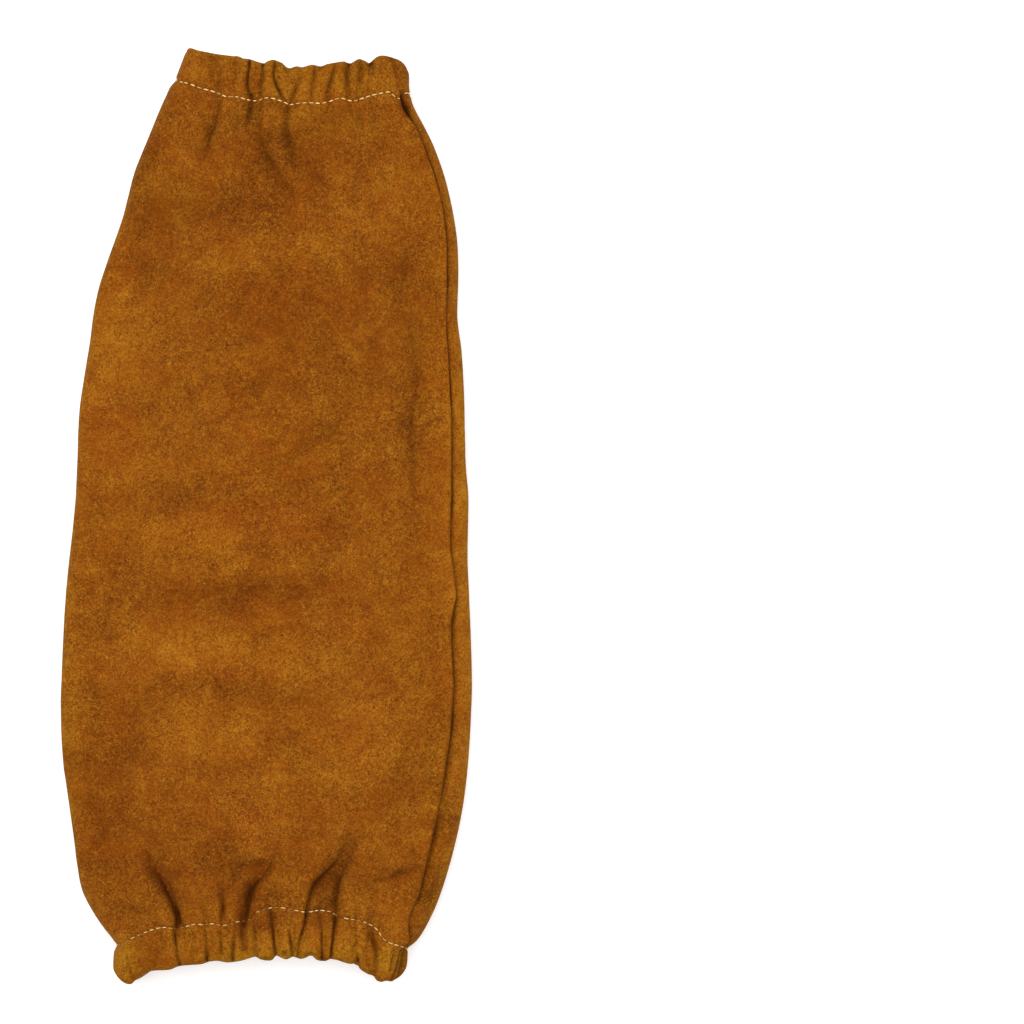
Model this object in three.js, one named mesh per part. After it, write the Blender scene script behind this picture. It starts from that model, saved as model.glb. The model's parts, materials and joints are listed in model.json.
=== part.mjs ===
// Leather arm sleeve for hot work: one panel of split leather wrapped into a tube and closed by a
// single long seam. Each end is turned in to a hem that holds a band of elastic, and the elastic
// gathers the leather into pleats. The sleeve lies on its back, slack, as it is laid on a table.
// Millimetres, +Z up. +Y points to the wrist end and +X to the seam side. The origin is the middle
// of the footprint, on the surface that the sleeve lies on.
import * as THREE from "three";
import { LoftGeometry } from "three/addons/geometries/LoftGeometry.js";

// Leather, elastic and sewing
const LEATHER = 1.3;
const ELASTIC = 1.2;
const PLY_GAP = 0.3; // between plies that touch on the sewn sleeve
const SEAM_GROOVE = 1.2; // depth of the crevice along the closed seam
const RAW_EDGE = 5; // turned-in leather past the stitch line
const RAW_EDGE_DROP = 0.6; // how far the free edge of it hangs away from the outer ply
const CHANNEL_START = 4; // from the stitch line to where the channel is open to its full depth
const ELASTIC_MARGIN = 1; // between the elastic and the ends of its channel
const NOTCH_SHARE = 0.6; // how far a pleat pulls the folded edge back, for each mm of its depth
const CREASE_POWER = 1.6; // 1 is a plain V, and more makes narrower valleys between broader ridges
const CROWN_POWER = 1.6; // 1 is a plain arch over the front, and more flattens it towards the sides

// The slack tube, from the wrist end to the upper arm end. left and right are the outline seen from
// above, roll and rollHeight the half axes of the rounded sides, and crown the rise of the front
// between them.
const OUTLINE = [
  { y: 228, left: -40, right: 68, roll: 11, rollHeight: 13, crown: 4 },
  { y: 210, left: -46, right: 69.5, roll: 11, rollHeight: 13, crown: 5 },
  { y: 191, left: -55.7, right: 75.8, roll: 8, rollHeight: 11, crown: 12 },
  { y: 166, left: -65.5, right: 86.6, roll: 6, rollHeight: 9, crown: 18 },
  { y: 130, left: -76.3, right: 93.2, roll: 6, rollHeight: 8, crown: 21 },
  { y: 81, left: -87.5, right: 95, roll: 7, rollHeight: 8, crown: 20 },
  { y: 8, left: -94, right: 98, roll: 8.5, rollHeight: 8, crown: 19 },
  { y: -90, left: -100.2, right: 100.2, roll: 10, rollHeight: 8, crown: 22 },
  { y: -139, left: -97.3, right: 95.8, roll: 10.5, rollHeight: 8.5, crown: 22 },
  { y: -176, left: -91.9, right: 87.5, roll: 11, rollHeight: 10, crown: 17 },
  { y: -200, left: -81.2, right: 77, roll: 11, rollHeight: 12.5, crown: 9 },
  { y: -211, left: -75, right: 68.5, roll: 11, rollHeight: 13.5, crown: 6 },
  { y: -228, left: -73.5, right: 66, roll: 11, rollHeight: 13.5, crown: 4 },
];

// Where the stitch line and the folded edge of each hem run. across is -1 and 1 where the front
// meets the rounded sides, and the sides reach past that.
const WRIST_HEM = {
  end: "wrist",
  outward: 1,
  rows: [
    { across: -1.24, stitch: 212, edge: 225.5 },
    { across: -1.05, stitch: 209.5, edge: 228 },
    { across: -0.62, stitch: 205, edge: 225.2 },
    { across: 0, stitch: 202, edge: 219.6 },
    { across: 0.62, stitch: 204.7, edge: 222.3 },
    { across: 1, stitch: 207, edge: 225.2 },
    { across: 1.24, stitch: 203.7, edge: 220.5 },
  ],
};
const UPPER_ARM_HEM = {
  end: "upperArm",
  outward: -1,
  rows: [
    { across: -1.18, stitch: -209.5, edge: -226 },
    { across: -1.06, stitch: -206, edge: -228.5 },
    { across: -0.83, stitch: -201.5, edge: -222.5 },
    { across: -0.36, stitch: -198, edge: -218.3 },
    { across: 0, stitch: -193.5, edge: -215.9 },
    { across: 0.54, stitch: -193.6, edge: -216.6 },
    { across: 0.83, stitch: -199.3, edge: -221.5 },
    { across: 1.02, stitch: -207, edge: -227.5 },
    { across: 1.18, stitch: -210.5, edge: -224.5 },
  ],
};

// Creases across the front, from the fold side to the seam side. Each row joins a crease of the wrist
// hem to one of the upper arm hem: its place across, its depth and how far it runs into the tube.
const FRONT_CREASES = [
  { wrist: { across: -0.86, depth: 1.6, run: 14 }, upperArm: { across: -0.91, depth: 1.5, run: 12 } },
  { wrist: { across: -0.7, depth: 2.2, run: 36 }, upperArm: { across: -0.68, depth: 3.2, run: 56 } },
  { wrist: { across: -0.48, depth: 3, run: 44 }, upperArm: { across: -0.46, depth: 2, run: 16 } },
  { wrist: { across: -0.31, depth: 2.4, run: 16 }, upperArm: { across: -0.26, depth: 2.2, run: 20 } },
  { wrist: { across: -0.15, depth: 2.8, run: 52 }, upperArm: { across: -0.07, depth: 3.2, run: 52 } },
  { wrist: { across: 0.09, depth: 1.8, run: 26 }, upperArm: { across: 0.11, depth: 2.4, run: 14 } },
  { wrist: { across: 0.26, depth: 2.2, run: 14 }, upperArm: { across: 0.24, depth: 2.6, run: 12 } },
  { wrist: { across: 0.43, depth: 2.6, run: 20 }, upperArm: { across: 0.37, depth: 3, run: 46 } },
  { wrist: { across: 0.6, depth: 2.4, run: 26 }, upperArm: { across: 0.5, depth: 2.8, run: 18 } },
  { wrist: { across: 0.76, depth: 2, run: 12 }, upperArm: { across: 0.64, depth: 3, run: 40 } },
  { wrist: { across: 0.9, depth: 1.4, run: 12 }, upperArm: { across: 0.85, depth: 1.8, run: 28 } },
];
const BACK_PLEATS = 7;
const BACK_CREASE = { depth: 2.2, shortRun: 16, longRun: 34 };

// Soft hollows in the slack front: the middle of each, its half length, its half width, its depth, and the
// direction of its length in degrees from +X.
const SOFT_HOLLOWS = [
  { x: -14, y: -41, length: 58, width: 13, depth: 2.6, turn: 1 },
  { x: 73, y: 52, length: 46, width: 10, depth: 2.2, turn: 90 },
  { x: 68, y: 116, length: 18, width: 10, depth: 1.8, turn: 105 },
  { x: 22, y: 36, length: 30, width: 11, depth: 1.6, turn: 32 },
  { x: -68, y: -112, length: 34, width: 11, depth: 2.4, turn: 72 },
  { x: -4, y: -88, length: 44, width: 11, depth: 1.6, turn: -8 },
  { x: 24, y: 166, length: 24, width: 10, depth: 2.2, turn: -46 },
  { x: -68, y: 140, length: 14, width: 12, depth: 2, turn: 20 },
];

// Fineness of the facets
const FRONT_STEPS = 4; // for each pleat
const BACK_STEPS = 2; // for each pleat
const ROLL_STEPS = 5;
const BODY_ROWS = 20;
const FOLD_STEPS = 4;

const deepestCrease = Math.max(
  BACK_CREASE.depth,
  ...FRONT_CREASES.flatMap((row) => [row.wrist.depth, row.upperArm.depth]),
);
const channel = deepestCrease + ELASTIC + 2 * PLY_GAP;
const hemThickness = 2 * LEATHER + channel;
const foldRadius = hemThickness / 2;

// A smooth curve through one column of a table, read along its key column.
function smoothColumn(rows, key, name) {
  const sorted = [...rows].sort((a, b) => a[key] - b[key]);
  const last = sorted.length - 1;
  const slope = (i) => {
    const before = sorted[Math.max(i - 1, 0)];
    const after = sorted[Math.min(i + 1, last)];
    return (after[name] - before[name]) / (after[key] - before[key]);
  };
  return (at) => {
    let i = 0;
    while (i < last - 1 && at > sorted[i + 1][key]) i += 1;
    const width = sorted[i + 1][key] - sorted[i][key];
    const t = THREE.MathUtils.clamp((at - sorted[i][key]) / width, 0, 1);
    const ease = t * t * (3 - 2 * t);
    const level = THREE.MathUtils.lerp(sorted[i][name], sorted[i + 1][name], ease);
    return level + width * t * (1 - t) * ((1 - t) * slope(i) - t * slope(i + 1));
  };
}

const outlineColumns = Object.fromEntries(
  ["left", "right", "roll", "rollHeight", "crown"].map((name) => [name, smoothColumn(OUTLINE, "y", name)]),
);
const hems = [WRIST_HEM, UPPER_ARM_HEM];
for (const hem of hems) {
  hem.stitchAt = smoothColumn(hem.rows, "across", "stitch");
  hem.edgeAt = smoothColumn(hem.rows, "across", "edge");
}

// Share of a crease's depth that is left at a share of the way to the next one: narrow valleys
// between broad, round ridges.
function creaseShare(away) {
  return Math.pow(Math.max(0, 1 - 2 * away), CREASE_POWER);
}

// Lines along the sleeve over one pleated face, each with the creases that dent it. turn is 1 from the
// fold side to the seam side, and -1 back again.
function pleatedLines(face, creases, turn, steps) {
  const flat = { depth: 0, run: 1 };
  const border = (across) => ({ wrist: { ...flat, across }, upperArm: { ...flat, across } });
  const rows = turn > 0 ? creases : [...creases].reverse();
  const stops = [border(-turn), ...rows, border(turn)];
  const lines = [];
  for (let pleat = 0; pleat < stops.length - 1; pleat += 1) {
    for (let step = 0; step < steps; step += 1) {
      const share = step / steps;
      const [from, to] = [stops[pleat], stops[pleat + 1]];
      lines.push({
        face,
        fine: steps === FRONT_STEPS && step % 2 === 1,
        across: (end) => THREE.MathUtils.lerp(from[end].across, to[end].across, share),
        dents: [
          { crease: from, share: creaseShare(share) },
          { crease: to, share: creaseShare(1 - share) },
        ],
      });
    }
  }
  return lines;
}

// Lines round one rounded side. The seam lies on the first line of its side, where the front ends.
function rollLines(face, side) {
  const endRows = { wrist: OUTLINE[0], upperArm: OUTLINE.at(-1) };
  return Array.from({ length: ROLL_STEPS }, (_, step) => {
    const angle = side * (Math.PI / 2 - (Math.PI * step) / ROLL_STEPS);
    return {
      face,
      angle,
      side,
      seam: face === "seamSide" && step === 0,
      across: (end) => {
        const { left, right, roll } = endRows[end];
        return side * (1 + (roll * Math.cos(angle)) / ((right - left) / 2 - roll));
      },
      dents: [],
    };
  });
}

// Evenly spaced creases for the face that lies on the table, every second one running further.
const backCreases = Array.from({ length: BACK_PLEATS - 1 }, (_, i) => {
  const across = -1 + (2 * (i + 1)) / BACK_PLEATS;
  const run = (long) => (long ? BACK_CREASE.longRun : BACK_CREASE.shortRun);
  return {
    wrist: { across, depth: BACK_CREASE.depth, run: run(i % 2 === 0) },
    upperArm: { across, depth: BACK_CREASE.depth, run: run(i % 2 === 1) },
  };
});

const ringLines = [
  ...pleatedLines("front", FRONT_CREASES, 1, FRONT_STEPS),
  ...rollLines("seamSide", 1),
  ...pleatedLines("back", backCreases, -1, BACK_STEPS),
  ...rollLines("foldSide", -1),
];

// Depth of a line's dents at a distance from the stitch line of one hem into the tube.
function dentDepth(line, end, distance) {
  return line.dents.reduce((sum, { crease, share }) => {
    const { depth, run } = crease[end];
    const fade = Math.max(0, 1 - Math.max(0, distance) / run);
    return sum + share * depth * fade * fade;
  }, 0);
}

// Depth of the soft hollows at a place on the front.
function hollowDepth(x, y) {
  return SOFT_HOLLOWS.reduce((sum, hollow) => {
    const turn = THREE.MathUtils.degToRad(hollow.turn);
    const along = ((x - hollow.x) * Math.cos(turn) + (y - hollow.y) * Math.sin(turn)) / hollow.length;
    const aside = ((y - hollow.y) * Math.cos(turn) - (x - hollow.x) * Math.sin(turn)) / hollow.width;
    const fade = Math.max(0, 1 - along * along - aside * aside);
    return sum + hollow.depth * fade * fade;
  }, 0);
}

// The point of a line on the slack tube at height y along it, moved inwards through the leather.
function tubePoint(line, across, y, inward) {
  const at = Object.fromEntries(Object.entries(outlineColumns).map(([name, column]) => [name, column(y)]));
  const from = at.left + at.roll;
  const to = at.right - at.roll;
  const middle = (from + to) / 2;
  const half = (to - from) / 2;
  const point = new THREE.Vector3(middle + half * across, y, 0);
  const out = new THREE.Vector3(0, 0, -1);
  if (line.face === "front") {
    const dome = 1 - across * across;
    const slope = (2 * CROWN_POWER * at.crown * across * Math.pow(dome, CROWN_POWER - 1)) / half;
    point.z = 2 * at.rollHeight + at.crown * Math.pow(dome, CROWN_POWER) - hollowDepth(point.x, y);
    out.set(slope, 0, 1).normalize();
  } else if (line.face !== "back") {
    const outX = line.side * Math.cos(line.angle);
    const outZ = Math.sin(line.angle);
    point.x = middle + line.side * half + at.roll * outX;
    point.z = at.rollHeight * (1 + outZ);
    out.set(outX / at.roll, 0, outZ / at.rollHeight).normalize();
  }
  return point.addScaledVector(out, -inward);
}

// One ring of the tube's wall, at a share of the way from the wrist stitch line to the other.
function bodyRing(share, depth) {
  return ringLines.map((line) => {
    const across = THREE.MathUtils.lerp(line.across("wrist"), line.across("upperArm"), share);
    const wristStitch = WRIST_HEM.stitchAt(across) - PLY_GAP;
    const armStitch = UPPER_ARM_HEM.stitchAt(across) + PLY_GAP;
    const y = THREE.MathUtils.lerp(wristStitch, armStitch, share);
    const dents = dentDepth(line, "wrist", wristStitch - y) + dentDepth(line, "upperArm", y - armStitch);
    const groove = line.seam ? SEAM_GROOVE : 0;
    return tubePoint(line, across, y, depth + dents + groove);
  });
}

// One ring of a hem. along is measured outwards from the stitch line or from the folded edge, and
// pleated is the share of each crease's depth that the ring takes.
function hemRing(hem, { from, along, depth, pleated }, lines = ringLines) {
  return lines.map((line) => {
    const across = line.across(hem.end);
    const start = from === "stitch" ? hem.stitchAt(across) : hem.edgeAt(across);
    const dents = dentDepth(line, hem.end, from === "stitch" ? -along : 0);
    const notch = from === "edge" ? NOTCH_SHARE * pleated * dents : 0;
    const groove = line.seam ? SEAM_GROOVE : 0;
    const y = start + hem.outward * (along - notch);
    return tubePoint(line, across, y, depth + pleated * (dents + groove));
  });
}

// A closed wall: its profile's rings joined in order, the last back to the first.
function closedWall(name, rings, material) {
  const mesh = new THREE.Mesh(new LoftGeometry([...rings, rings[0]]), material);
  mesh.name = name;
  return mesh;
}

// The tube between the stitch lines, with rows closer together towards the hems.
function makeBody(material) {
  const shares = Array.from({ length: BODY_ROWS + 1 }, (_, i) => (1 - Math.cos((Math.PI * i) / BODY_ROWS)) / 2);
  const outer = shares.map((share) => bodyRing(share, 0)).reverse();
  const inner = shares.map((share) => bodyRing(share, LEATHER));
  return closedWall("sleeve_body", [...inner, ...outer], material);
}

// The turned-in end: outer ply, folded edge and inner ply, which is pinched against the outer ply at the
// stitch line and runs on under the tube to its raw edge.
function makeHem(name, hem, material) {
  const pinched = LEATHER + PLY_GAP;
  const arc = (radius, steps) =>
    Array.from({ length: steps + 1 }, (_, i) => {
      const angle = (Math.PI * i) / steps;
      return {
        from: "edge",
        along: radius * Math.sin(angle) - foldRadius,
        depth: foldRadius - radius * Math.cos(angle),
        pleated: 1 - i / steps,
      };
    });
  const profile = [
    { from: "stitch", along: 0, depth: 0, pleated: 1 },
    ...arc(foldRadius, FOLD_STEPS),
    { from: "stitch", along: CHANNEL_START, depth: hemThickness, pleated: 0 },
    { from: "stitch", along: 0, depth: pinched + LEATHER, pleated: 1 },
    { from: "stitch", along: -RAW_EDGE, depth: pinched + RAW_EDGE_DROP + LEATHER, pleated: 1 },
    { from: "stitch", along: -RAW_EDGE, depth: pinched + RAW_EDGE_DROP, pleated: 1 },
    { from: "stitch", along: 0, depth: pinched, pleated: 1 },
    { from: "stitch", along: CHANNEL_START, depth: hemThickness - LEATHER, pleated: 0 },
    ...arc(foldRadius - LEATHER, FOLD_STEPS / 2).reverse(),
    { from: "stitch", along: 0, depth: LEATHER, pleated: 1 },
  ];
  const rings = profile.map((row) => hemRing(hem, row));
  return closedWall(name, hem.outward > 0 ? rings : rings.reverse(), material);
}

// The flat band inside a hem's channel, smooth under the pleats.
function makeElastic(name, hem, material) {
  const lines = ringLines.filter((line) => !line.fine);
  const near = LEATHER + deepestCrease + PLY_GAP;
  const far = near + ELASTIC;
  const inFromStitch = CHANNEL_START + ELASTIC_MARGIN;
  const inFromEdge = -foldRadius - ELASTIC_MARGIN;
  const profile = [
    { from: "stitch", along: inFromStitch, depth: near, pleated: 0 },
    { from: "edge", along: inFromEdge, depth: near, pleated: 0 },
    { from: "edge", along: inFromEdge, depth: far, pleated: 0 },
    { from: "stitch", along: inFromStitch, depth: far, pleated: 0 },
  ];
  const rings = profile.map((row) => hemRing(hem, row, lines));
  return closedWall(name, hem.outward > 0 ? rings : rings.reverse(), material);
}

const suede = new THREE.MeshStandardMaterial({ color: 0x905014, roughness: 0.95, metalness: 0 });
const webbing = new THREE.MeshStandardMaterial({ color: 0xe6e0d2, roughness: 0.9, metalness: 0 });

const sleeve = new THREE.Group();
sleeve.name = "leather_arm_sleeve";
sleeve.add(
  makeBody(suede),
  makeHem("wrist_hem", WRIST_HEM, suede),
  makeHem("upper_arm_hem", UPPER_ARM_HEM, suede),
  makeElastic("wrist_elastic", WRIST_HEM, webbing),
  makeElastic("upper_arm_elastic", UPPER_ARM_HEM, webbing),
);

export default sleeve;
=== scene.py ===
import json
import math

import bpy
import numpy as np
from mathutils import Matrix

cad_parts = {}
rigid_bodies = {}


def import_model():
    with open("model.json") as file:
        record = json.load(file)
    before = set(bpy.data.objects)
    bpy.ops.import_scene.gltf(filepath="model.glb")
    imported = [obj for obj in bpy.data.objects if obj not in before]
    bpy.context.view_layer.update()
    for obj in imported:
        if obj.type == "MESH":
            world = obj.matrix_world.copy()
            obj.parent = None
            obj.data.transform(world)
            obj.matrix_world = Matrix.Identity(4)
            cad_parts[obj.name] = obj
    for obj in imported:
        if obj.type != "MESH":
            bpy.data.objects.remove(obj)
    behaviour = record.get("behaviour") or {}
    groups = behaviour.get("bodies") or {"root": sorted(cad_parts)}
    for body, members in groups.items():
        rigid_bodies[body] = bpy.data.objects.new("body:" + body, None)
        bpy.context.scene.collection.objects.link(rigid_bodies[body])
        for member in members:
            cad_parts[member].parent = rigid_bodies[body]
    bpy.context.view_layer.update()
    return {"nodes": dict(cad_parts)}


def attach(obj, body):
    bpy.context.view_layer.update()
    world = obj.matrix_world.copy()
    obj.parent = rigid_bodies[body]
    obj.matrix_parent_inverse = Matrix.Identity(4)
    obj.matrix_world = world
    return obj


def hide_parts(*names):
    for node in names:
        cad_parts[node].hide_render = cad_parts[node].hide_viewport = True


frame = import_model()
print("frame:", sorted(frame["nodes"]))

mm = 0.001

# Slack tube of one leather panel, lying on its back. Sizes in mm, the same sections as the solids:
# half axes of the rounded sides, rise of the front, and the outline on the left and the right
sleeve = {
    "leather": 1.3,
    "cut": (0.44, 0.415),  # flat panel between the stitch lines, in metres, and its tapered area
    "cutArea": 0.166,
    "crownPower": 1.6,
    "columns": ("y", "roll", "rollHeight", "crown"),
    "sections": [
        (-228, 11, 13.5, 4),
        (-218, 11, 13.5, 5),
        (-211, 11, 13.5, 6),
        (-200, 11, 12.5, 9),
        (-176, 11, 10, 17),
        (-139, 10.5, 8.5, 22),
        (-90, 10, 8, 22),
        (8, 8.5, 8, 19),
        (81, 7, 8, 20),
        (130, 6, 8, 21),
        (166, 6, 9, 18),
        (191, 8, 11, 12),
        (210, 11, 13, 5),
        (228, 11, 13, 4),
    ],
    "sideColumns": ("y", "x"),
    "left": [
        (-228, -75.2), (-219, -76), (-213.4, -75.6), (-210.3, -74.4), (-207.6, -75.7), (-202, -79.7),
        (-190, -87), (-184, -89.9), (-178, -91.6), (-161, -94), (-125, -99), (-108, -100.6),
        (-84, -100.7), (-37, -98.3), (4, -94), (27, -92.8), (51, -91.8), (68, -89.4), (86, -86.5),
        (98, -85), (109, -82.8), (121, -79.2), (145, -70.8), (156, -67.9), (168, -64.7), (186, -57.3),
        (203, -50.4), (209, -48), (212.2, -45.6), (215, -44.6), (228, -40),
    ],
    "right": [
        (-228, 66.6), (-219, 68.6), (-213.4, 69), (-211, 69.7), (-207.6, 73.4), (-202, 77.2), (-190, 83),
        (-172, 89), (-149, 94.6), (-125, 98), (-90, 100.1), (-73, 100.1), (-37, 98.8), (-20, 98.1),
        (-2, 98.4), (9.5, 98.5), (21, 97.5), (33, 96.9), (56, 96.5), (80, 95.2), (92, 93.6), (98, 93.1),
        (121, 93.6), (139, 92.5), (162, 87.9), (180, 81.8), (197, 73.7), (203, 71.7), (209, 70.6),
        (215, 70.5), (228, 68.6),
    ],
    # how far the seam lies in from the right outline
    "seamColumns": ("y", "inset"),
    "seam": [
        (-228, 3.4), (-213, 3.2), (-208, 3.5), (-200, 9.2), (-193, 10.9), (-186, 9.9), (-178, 10.8),
        (-156, 11.4), (-127, 10.5), (-105, 9.2), (-90, 8.8), (-83, 8.4), (-76, 9), (-54, 8.9), (-46, 7.2),
        (-39, 5.6), (-24, 6.9), (-17, 8.1), (5, 8.1), (27, 6.6), (49, 6.1), (71, 6.5), (86, 6.1), (97, 5),
        (122, 5.2), (144, 4.6), (166, 4.5), (174, 4.7), (188, 3.7), (194, 4.6), (197, 5.5), (199.5, 5.9),
        (203.5, 5.3), (210, 5.7), (228, 6.4),
    ],
    # lines along the tube over the front, the strip beside the seam, the underside and the folded side
    "bodyLines": (250, 28, 50, 18),
    "hemLines": (400, 44, 84, 32),
    "bandLines": (120, 16, 40, 16),
    "bodyRows": 246,
    "insideRows": 26,
    # lines lie closer together beside the seam, and rows at the hems: how much, and over what share
    "seamCrowding": 2.5,
    "frontCrowded": 0.04,
    "stripCrowded": 0.2,
    "endCrowding": 2.7,
    "endsCrowded": (0.09, 0.2),
}


def columnCurve(columns, rows, name):
    # smooth curve through one column of a table, read along its first column
    rows = sorted(rows)
    keys = np.array([row[0] for row in rows], float)
    values = np.array([row[columns.index(name)] for row in rows], float)
    before = np.maximum(np.arange(len(keys)) - 1, 0)
    after = np.minimum(np.arange(len(keys)) + 1, len(keys) - 1)
    slopes = (values[after] - values[before]) / (keys[after] - keys[before])

    def curve(at):
        at = np.clip(at, keys[0], keys[-1])
        i = np.clip(np.searchsorted(keys, at) - 1, 0, len(keys) - 2)
        width = keys[i + 1] - keys[i]
        t = (at - keys[i]) / width
        ease = t * t * (3 - 2 * t)
        level = values[i] + (values[i + 1] - values[i]) * ease
        return level + width * t * (1 - t) * ((1 - t) * slopes[i] - t * slopes[i + 1])

    return curve


def smoothStep(low, high, at):
    t = np.clip((at - low) / (high - low), 0, 1)
    return t * t * (3 - 2 * t)


outline = {name: columnCurve(sleeve["columns"], sleeve["sections"], name) for name in sleeve["columns"][1:]}
outline |= {side: columnCurve(sleeve["sideColumns"], sleeve[side], "x") for side in ("left", "right")}
seamInset = columnCurve(sleeve["seamColumns"], sleeve["seam"], "inset")

# The camera over the sleeve, in mm. Tables for the front give places as they are seen from it, and sunk is
# how far below the plain tube each kind of line lies
view = {
    "eye": (119.8, 1.7),
    "distance": 3000,
    "outlineHeight": 9,  # where the outline lies, and where the picture's width is measured
    "width": 500.7,
    "sunk": {"Fold": 2, "Stitch": 2, "Edge": 5},
}


# A place round the ring: -1 to 1 over the front, to 2 round the seam side, to 4 back under, to 5 round
# the folded side
def tube(place, y):
    at = {name: curve(y) for name, curve in outline.items()}
    half = (at["right"] - at["left"]) / 2 - at["roll"]
    middle = (at["right"] + at["left"]) / 2
    front = place <= 1
    back = (place >= 2) & (place <= 4)
    side = np.where(place < 3, 1.0, -1.0)
    across = np.clip(np.where(front, place, 3 - place), -1, 1)
    angle = np.where(place < 3, math.pi * (1.5 - place), math.pi * (place - 4.5))
    dome = 1 - across**2
    power = sleeve["crownPower"]
    slope = 2 * power * at["crown"] * across * dome ** (power - 1) / half
    sideX, sideZ = side * np.cos(angle), np.sin(angle)
    flat = front | back
    x = middle + np.where(flat, half * across, side * half + at["roll"] * sideX)
    topZ = 2 * at["rollHeight"] + at["crown"] * dome**power
    z = np.where(front, topZ, np.where(back, 0.0, at["rollHeight"] * (1 + sideZ)))
    outX = np.where(front, slope, np.where(back, 0.0, sideX / at["roll"]))
    outZ = np.where(front, 1.0, np.where(back, -1.0, sideZ / at["rollHeight"]))
    length = np.hypot(outX, outZ)
    points = np.stack([x, y + 0 * x, z], axis=-1)
    outward = np.stack([outX / length, 0 * x, outZ / length], axis=-1)
    return points, outward


def seamPlace(y):
    # the seam runs a measured inset from the right outline, on the front or over its shoulder
    roll = outline["roll"](y)
    inset = seamInset(y)
    half = (outline["right"](y) - outline["left"](y)) / 2 - roll
    onFront = 1 - (inset - roll) / half
    onSide = 1 + (math.pi / 2 - np.arccos(np.clip(1 - inset / roll, -1, 1))) / math.pi
    return np.where(inset >= roll, onFront, onSide)


def spread(count, density, steps=4000):
    # count values from 0 to just under 1, closer together where density is high
    fine = np.linspace(0, 1, steps + 1)
    total = np.concatenate([[0], np.cumsum((density(fine[1:]) + density(fine[:-1])) / 2)])
    return np.interp(np.arange(count) / count, total / total[-1], fine)


def ringPlaces(y, lines):
    # places of the lines on one ring, closer together beside the seam
    front, strip, back, fold = lines
    seam = float(seamPlace(np.array(y)))
    crowding, nearFront, nearStrip = (sleeve[n] for n in ("seamCrowding", "frontCrowded", "stripCrowded"))
    frontShares = spread(front, lambda f: 1 + crowding * np.exp(-(((1 - f) / nearFront) ** 2)))
    stripShares = spread(strip, lambda f: 1 + crowding * np.exp(-((f / nearStrip) ** 2)))
    return np.concatenate([
        -1 + (seam + 1) * frontShares,
        seam + (2 - seam) * stripShares,
        2 + 2 * np.arange(back) / back,
        4 + np.arange(fold) / fold,
    ])


# The two hems: stitch line and folded edge, y in mm by place across, -1 and 1 at the ends of the front
hemColumns = ("across", "stitch", "edge")
frontColumns = ("across", "y")
wristHem = {
    "node": "wrist_hem",
    "place": "wrist",
    "cut": (0.33, 0.048),  # flat width before it is gathered, and the turned depth, in metres
    "outward": 1,
    "rows": [
        (-1.24, 213.4, 227.2),
        (-1.1, 211.2, 225.6),
        (-0.8, 205.5, 223.2),
        (-0.4, 200.5, 219.6),
        (0, 198, 216.5),
        (0.62, 198.5, 216.5),
        (1, 201.5, 219.5),
        (1.24, 206.4, 219.5),
    ],
    # the sewn line and the scalloped edge over the front, by x in mm
    "frontStitch": [
        (-46, 213.2), (-44.2, 212.6), (-39.7, 211.5), (-36.5, 210.4), (-32.8, 209), (-30, 208.2),
        (-26.7, 207.3), (-22.3, 205.7), (-19.9, 204.7), (-16.2, 204.7), (-13, 204.2), (-10.1, 203.3),
        (-6.1, 202.7), (-4.1, 203), (-2, 203.8), (0.4, 204.1), (3.7, 203.6), (6.5, 202.7), (8.9, 201.8),
        (10.9, 200.9), (13.7, 201.2), (16.1, 201.5), (19.8, 201.8), (23, 201.7), (26.3, 201.5),
        (28.3, 201.8), (31.1, 202.5), (33.9, 203.5), (36.8, 203.8), (38.8, 203.3), (41.2, 202.7),
        (43.3, 202.7), (45.3, 203.4), (48.1, 204.3), (51.4, 205.4), (54.6, 206.1), (58.3, 206.9),
        (60.4, 206.9), (61.9, 205.4), (63.5, 204.3), (65, 203.7), (66.8, 205.8), (69, 206.9),
    ],
    "frontEdge": [
        (-39.4, 229.7), (-37, 229.1), (-34, 227.7), (-26, 225.8), (-18, 224.7), (-14.4, 224.5),
        (-12.4, 223.5), (-9.3, 223.2), (-2, 221.1), (0, 222.1), (2.6, 222.8), (5, 222.2), (7.4, 221.1),
        (9.8, 219), (11.4, 218.7), (14.6, 219.6), (17.4, 219.2), (22.4, 220.4), (26.6, 219.6),
        (30, 220.7), (38.2, 222), (40.2, 221.3), (41.6, 221.1), (45.6, 223.2), (48.6, 222.2),
        (50.4, 221.2), (53.6, 223.8), (56, 224.8), (60, 224.4), (63, 223.7), (65.5, 222.8), (67.6, 220.5),
        (69, 217.4),
    ],
    # x in mm of each dip between two puffs, at the stitches and at the edge
    "dips": [
        (-26.6, -26.6), (-17.5, -16.6), (-8.4, -9.3), (-3.3, -2.2), (8.4, 2.9), (12.6, 17.4),
        (22.5, 23.5), (30.5, 33.7), (40.6, 39.3), (45.5, 46.7), (51.4, 51),
    ],
    "backDips": 15,
    "cornerSharp": 0.4,  # the folded side ends in a sharp corner, its inner ply cut back along the slant
    "cornerLean": 0.36,
    # painted shade on the strip beside the seam
    "stripShade": 0.05,
    "threadPull": (0, 0.6),  # least, and what chance adds
    "threadLost": [(-47, -41.6), (65.3, 66.4)],  # x in mm where the thread is lost in a fold
    "seamNear": 205,  # about where the seam meets the stitches
}
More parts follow.
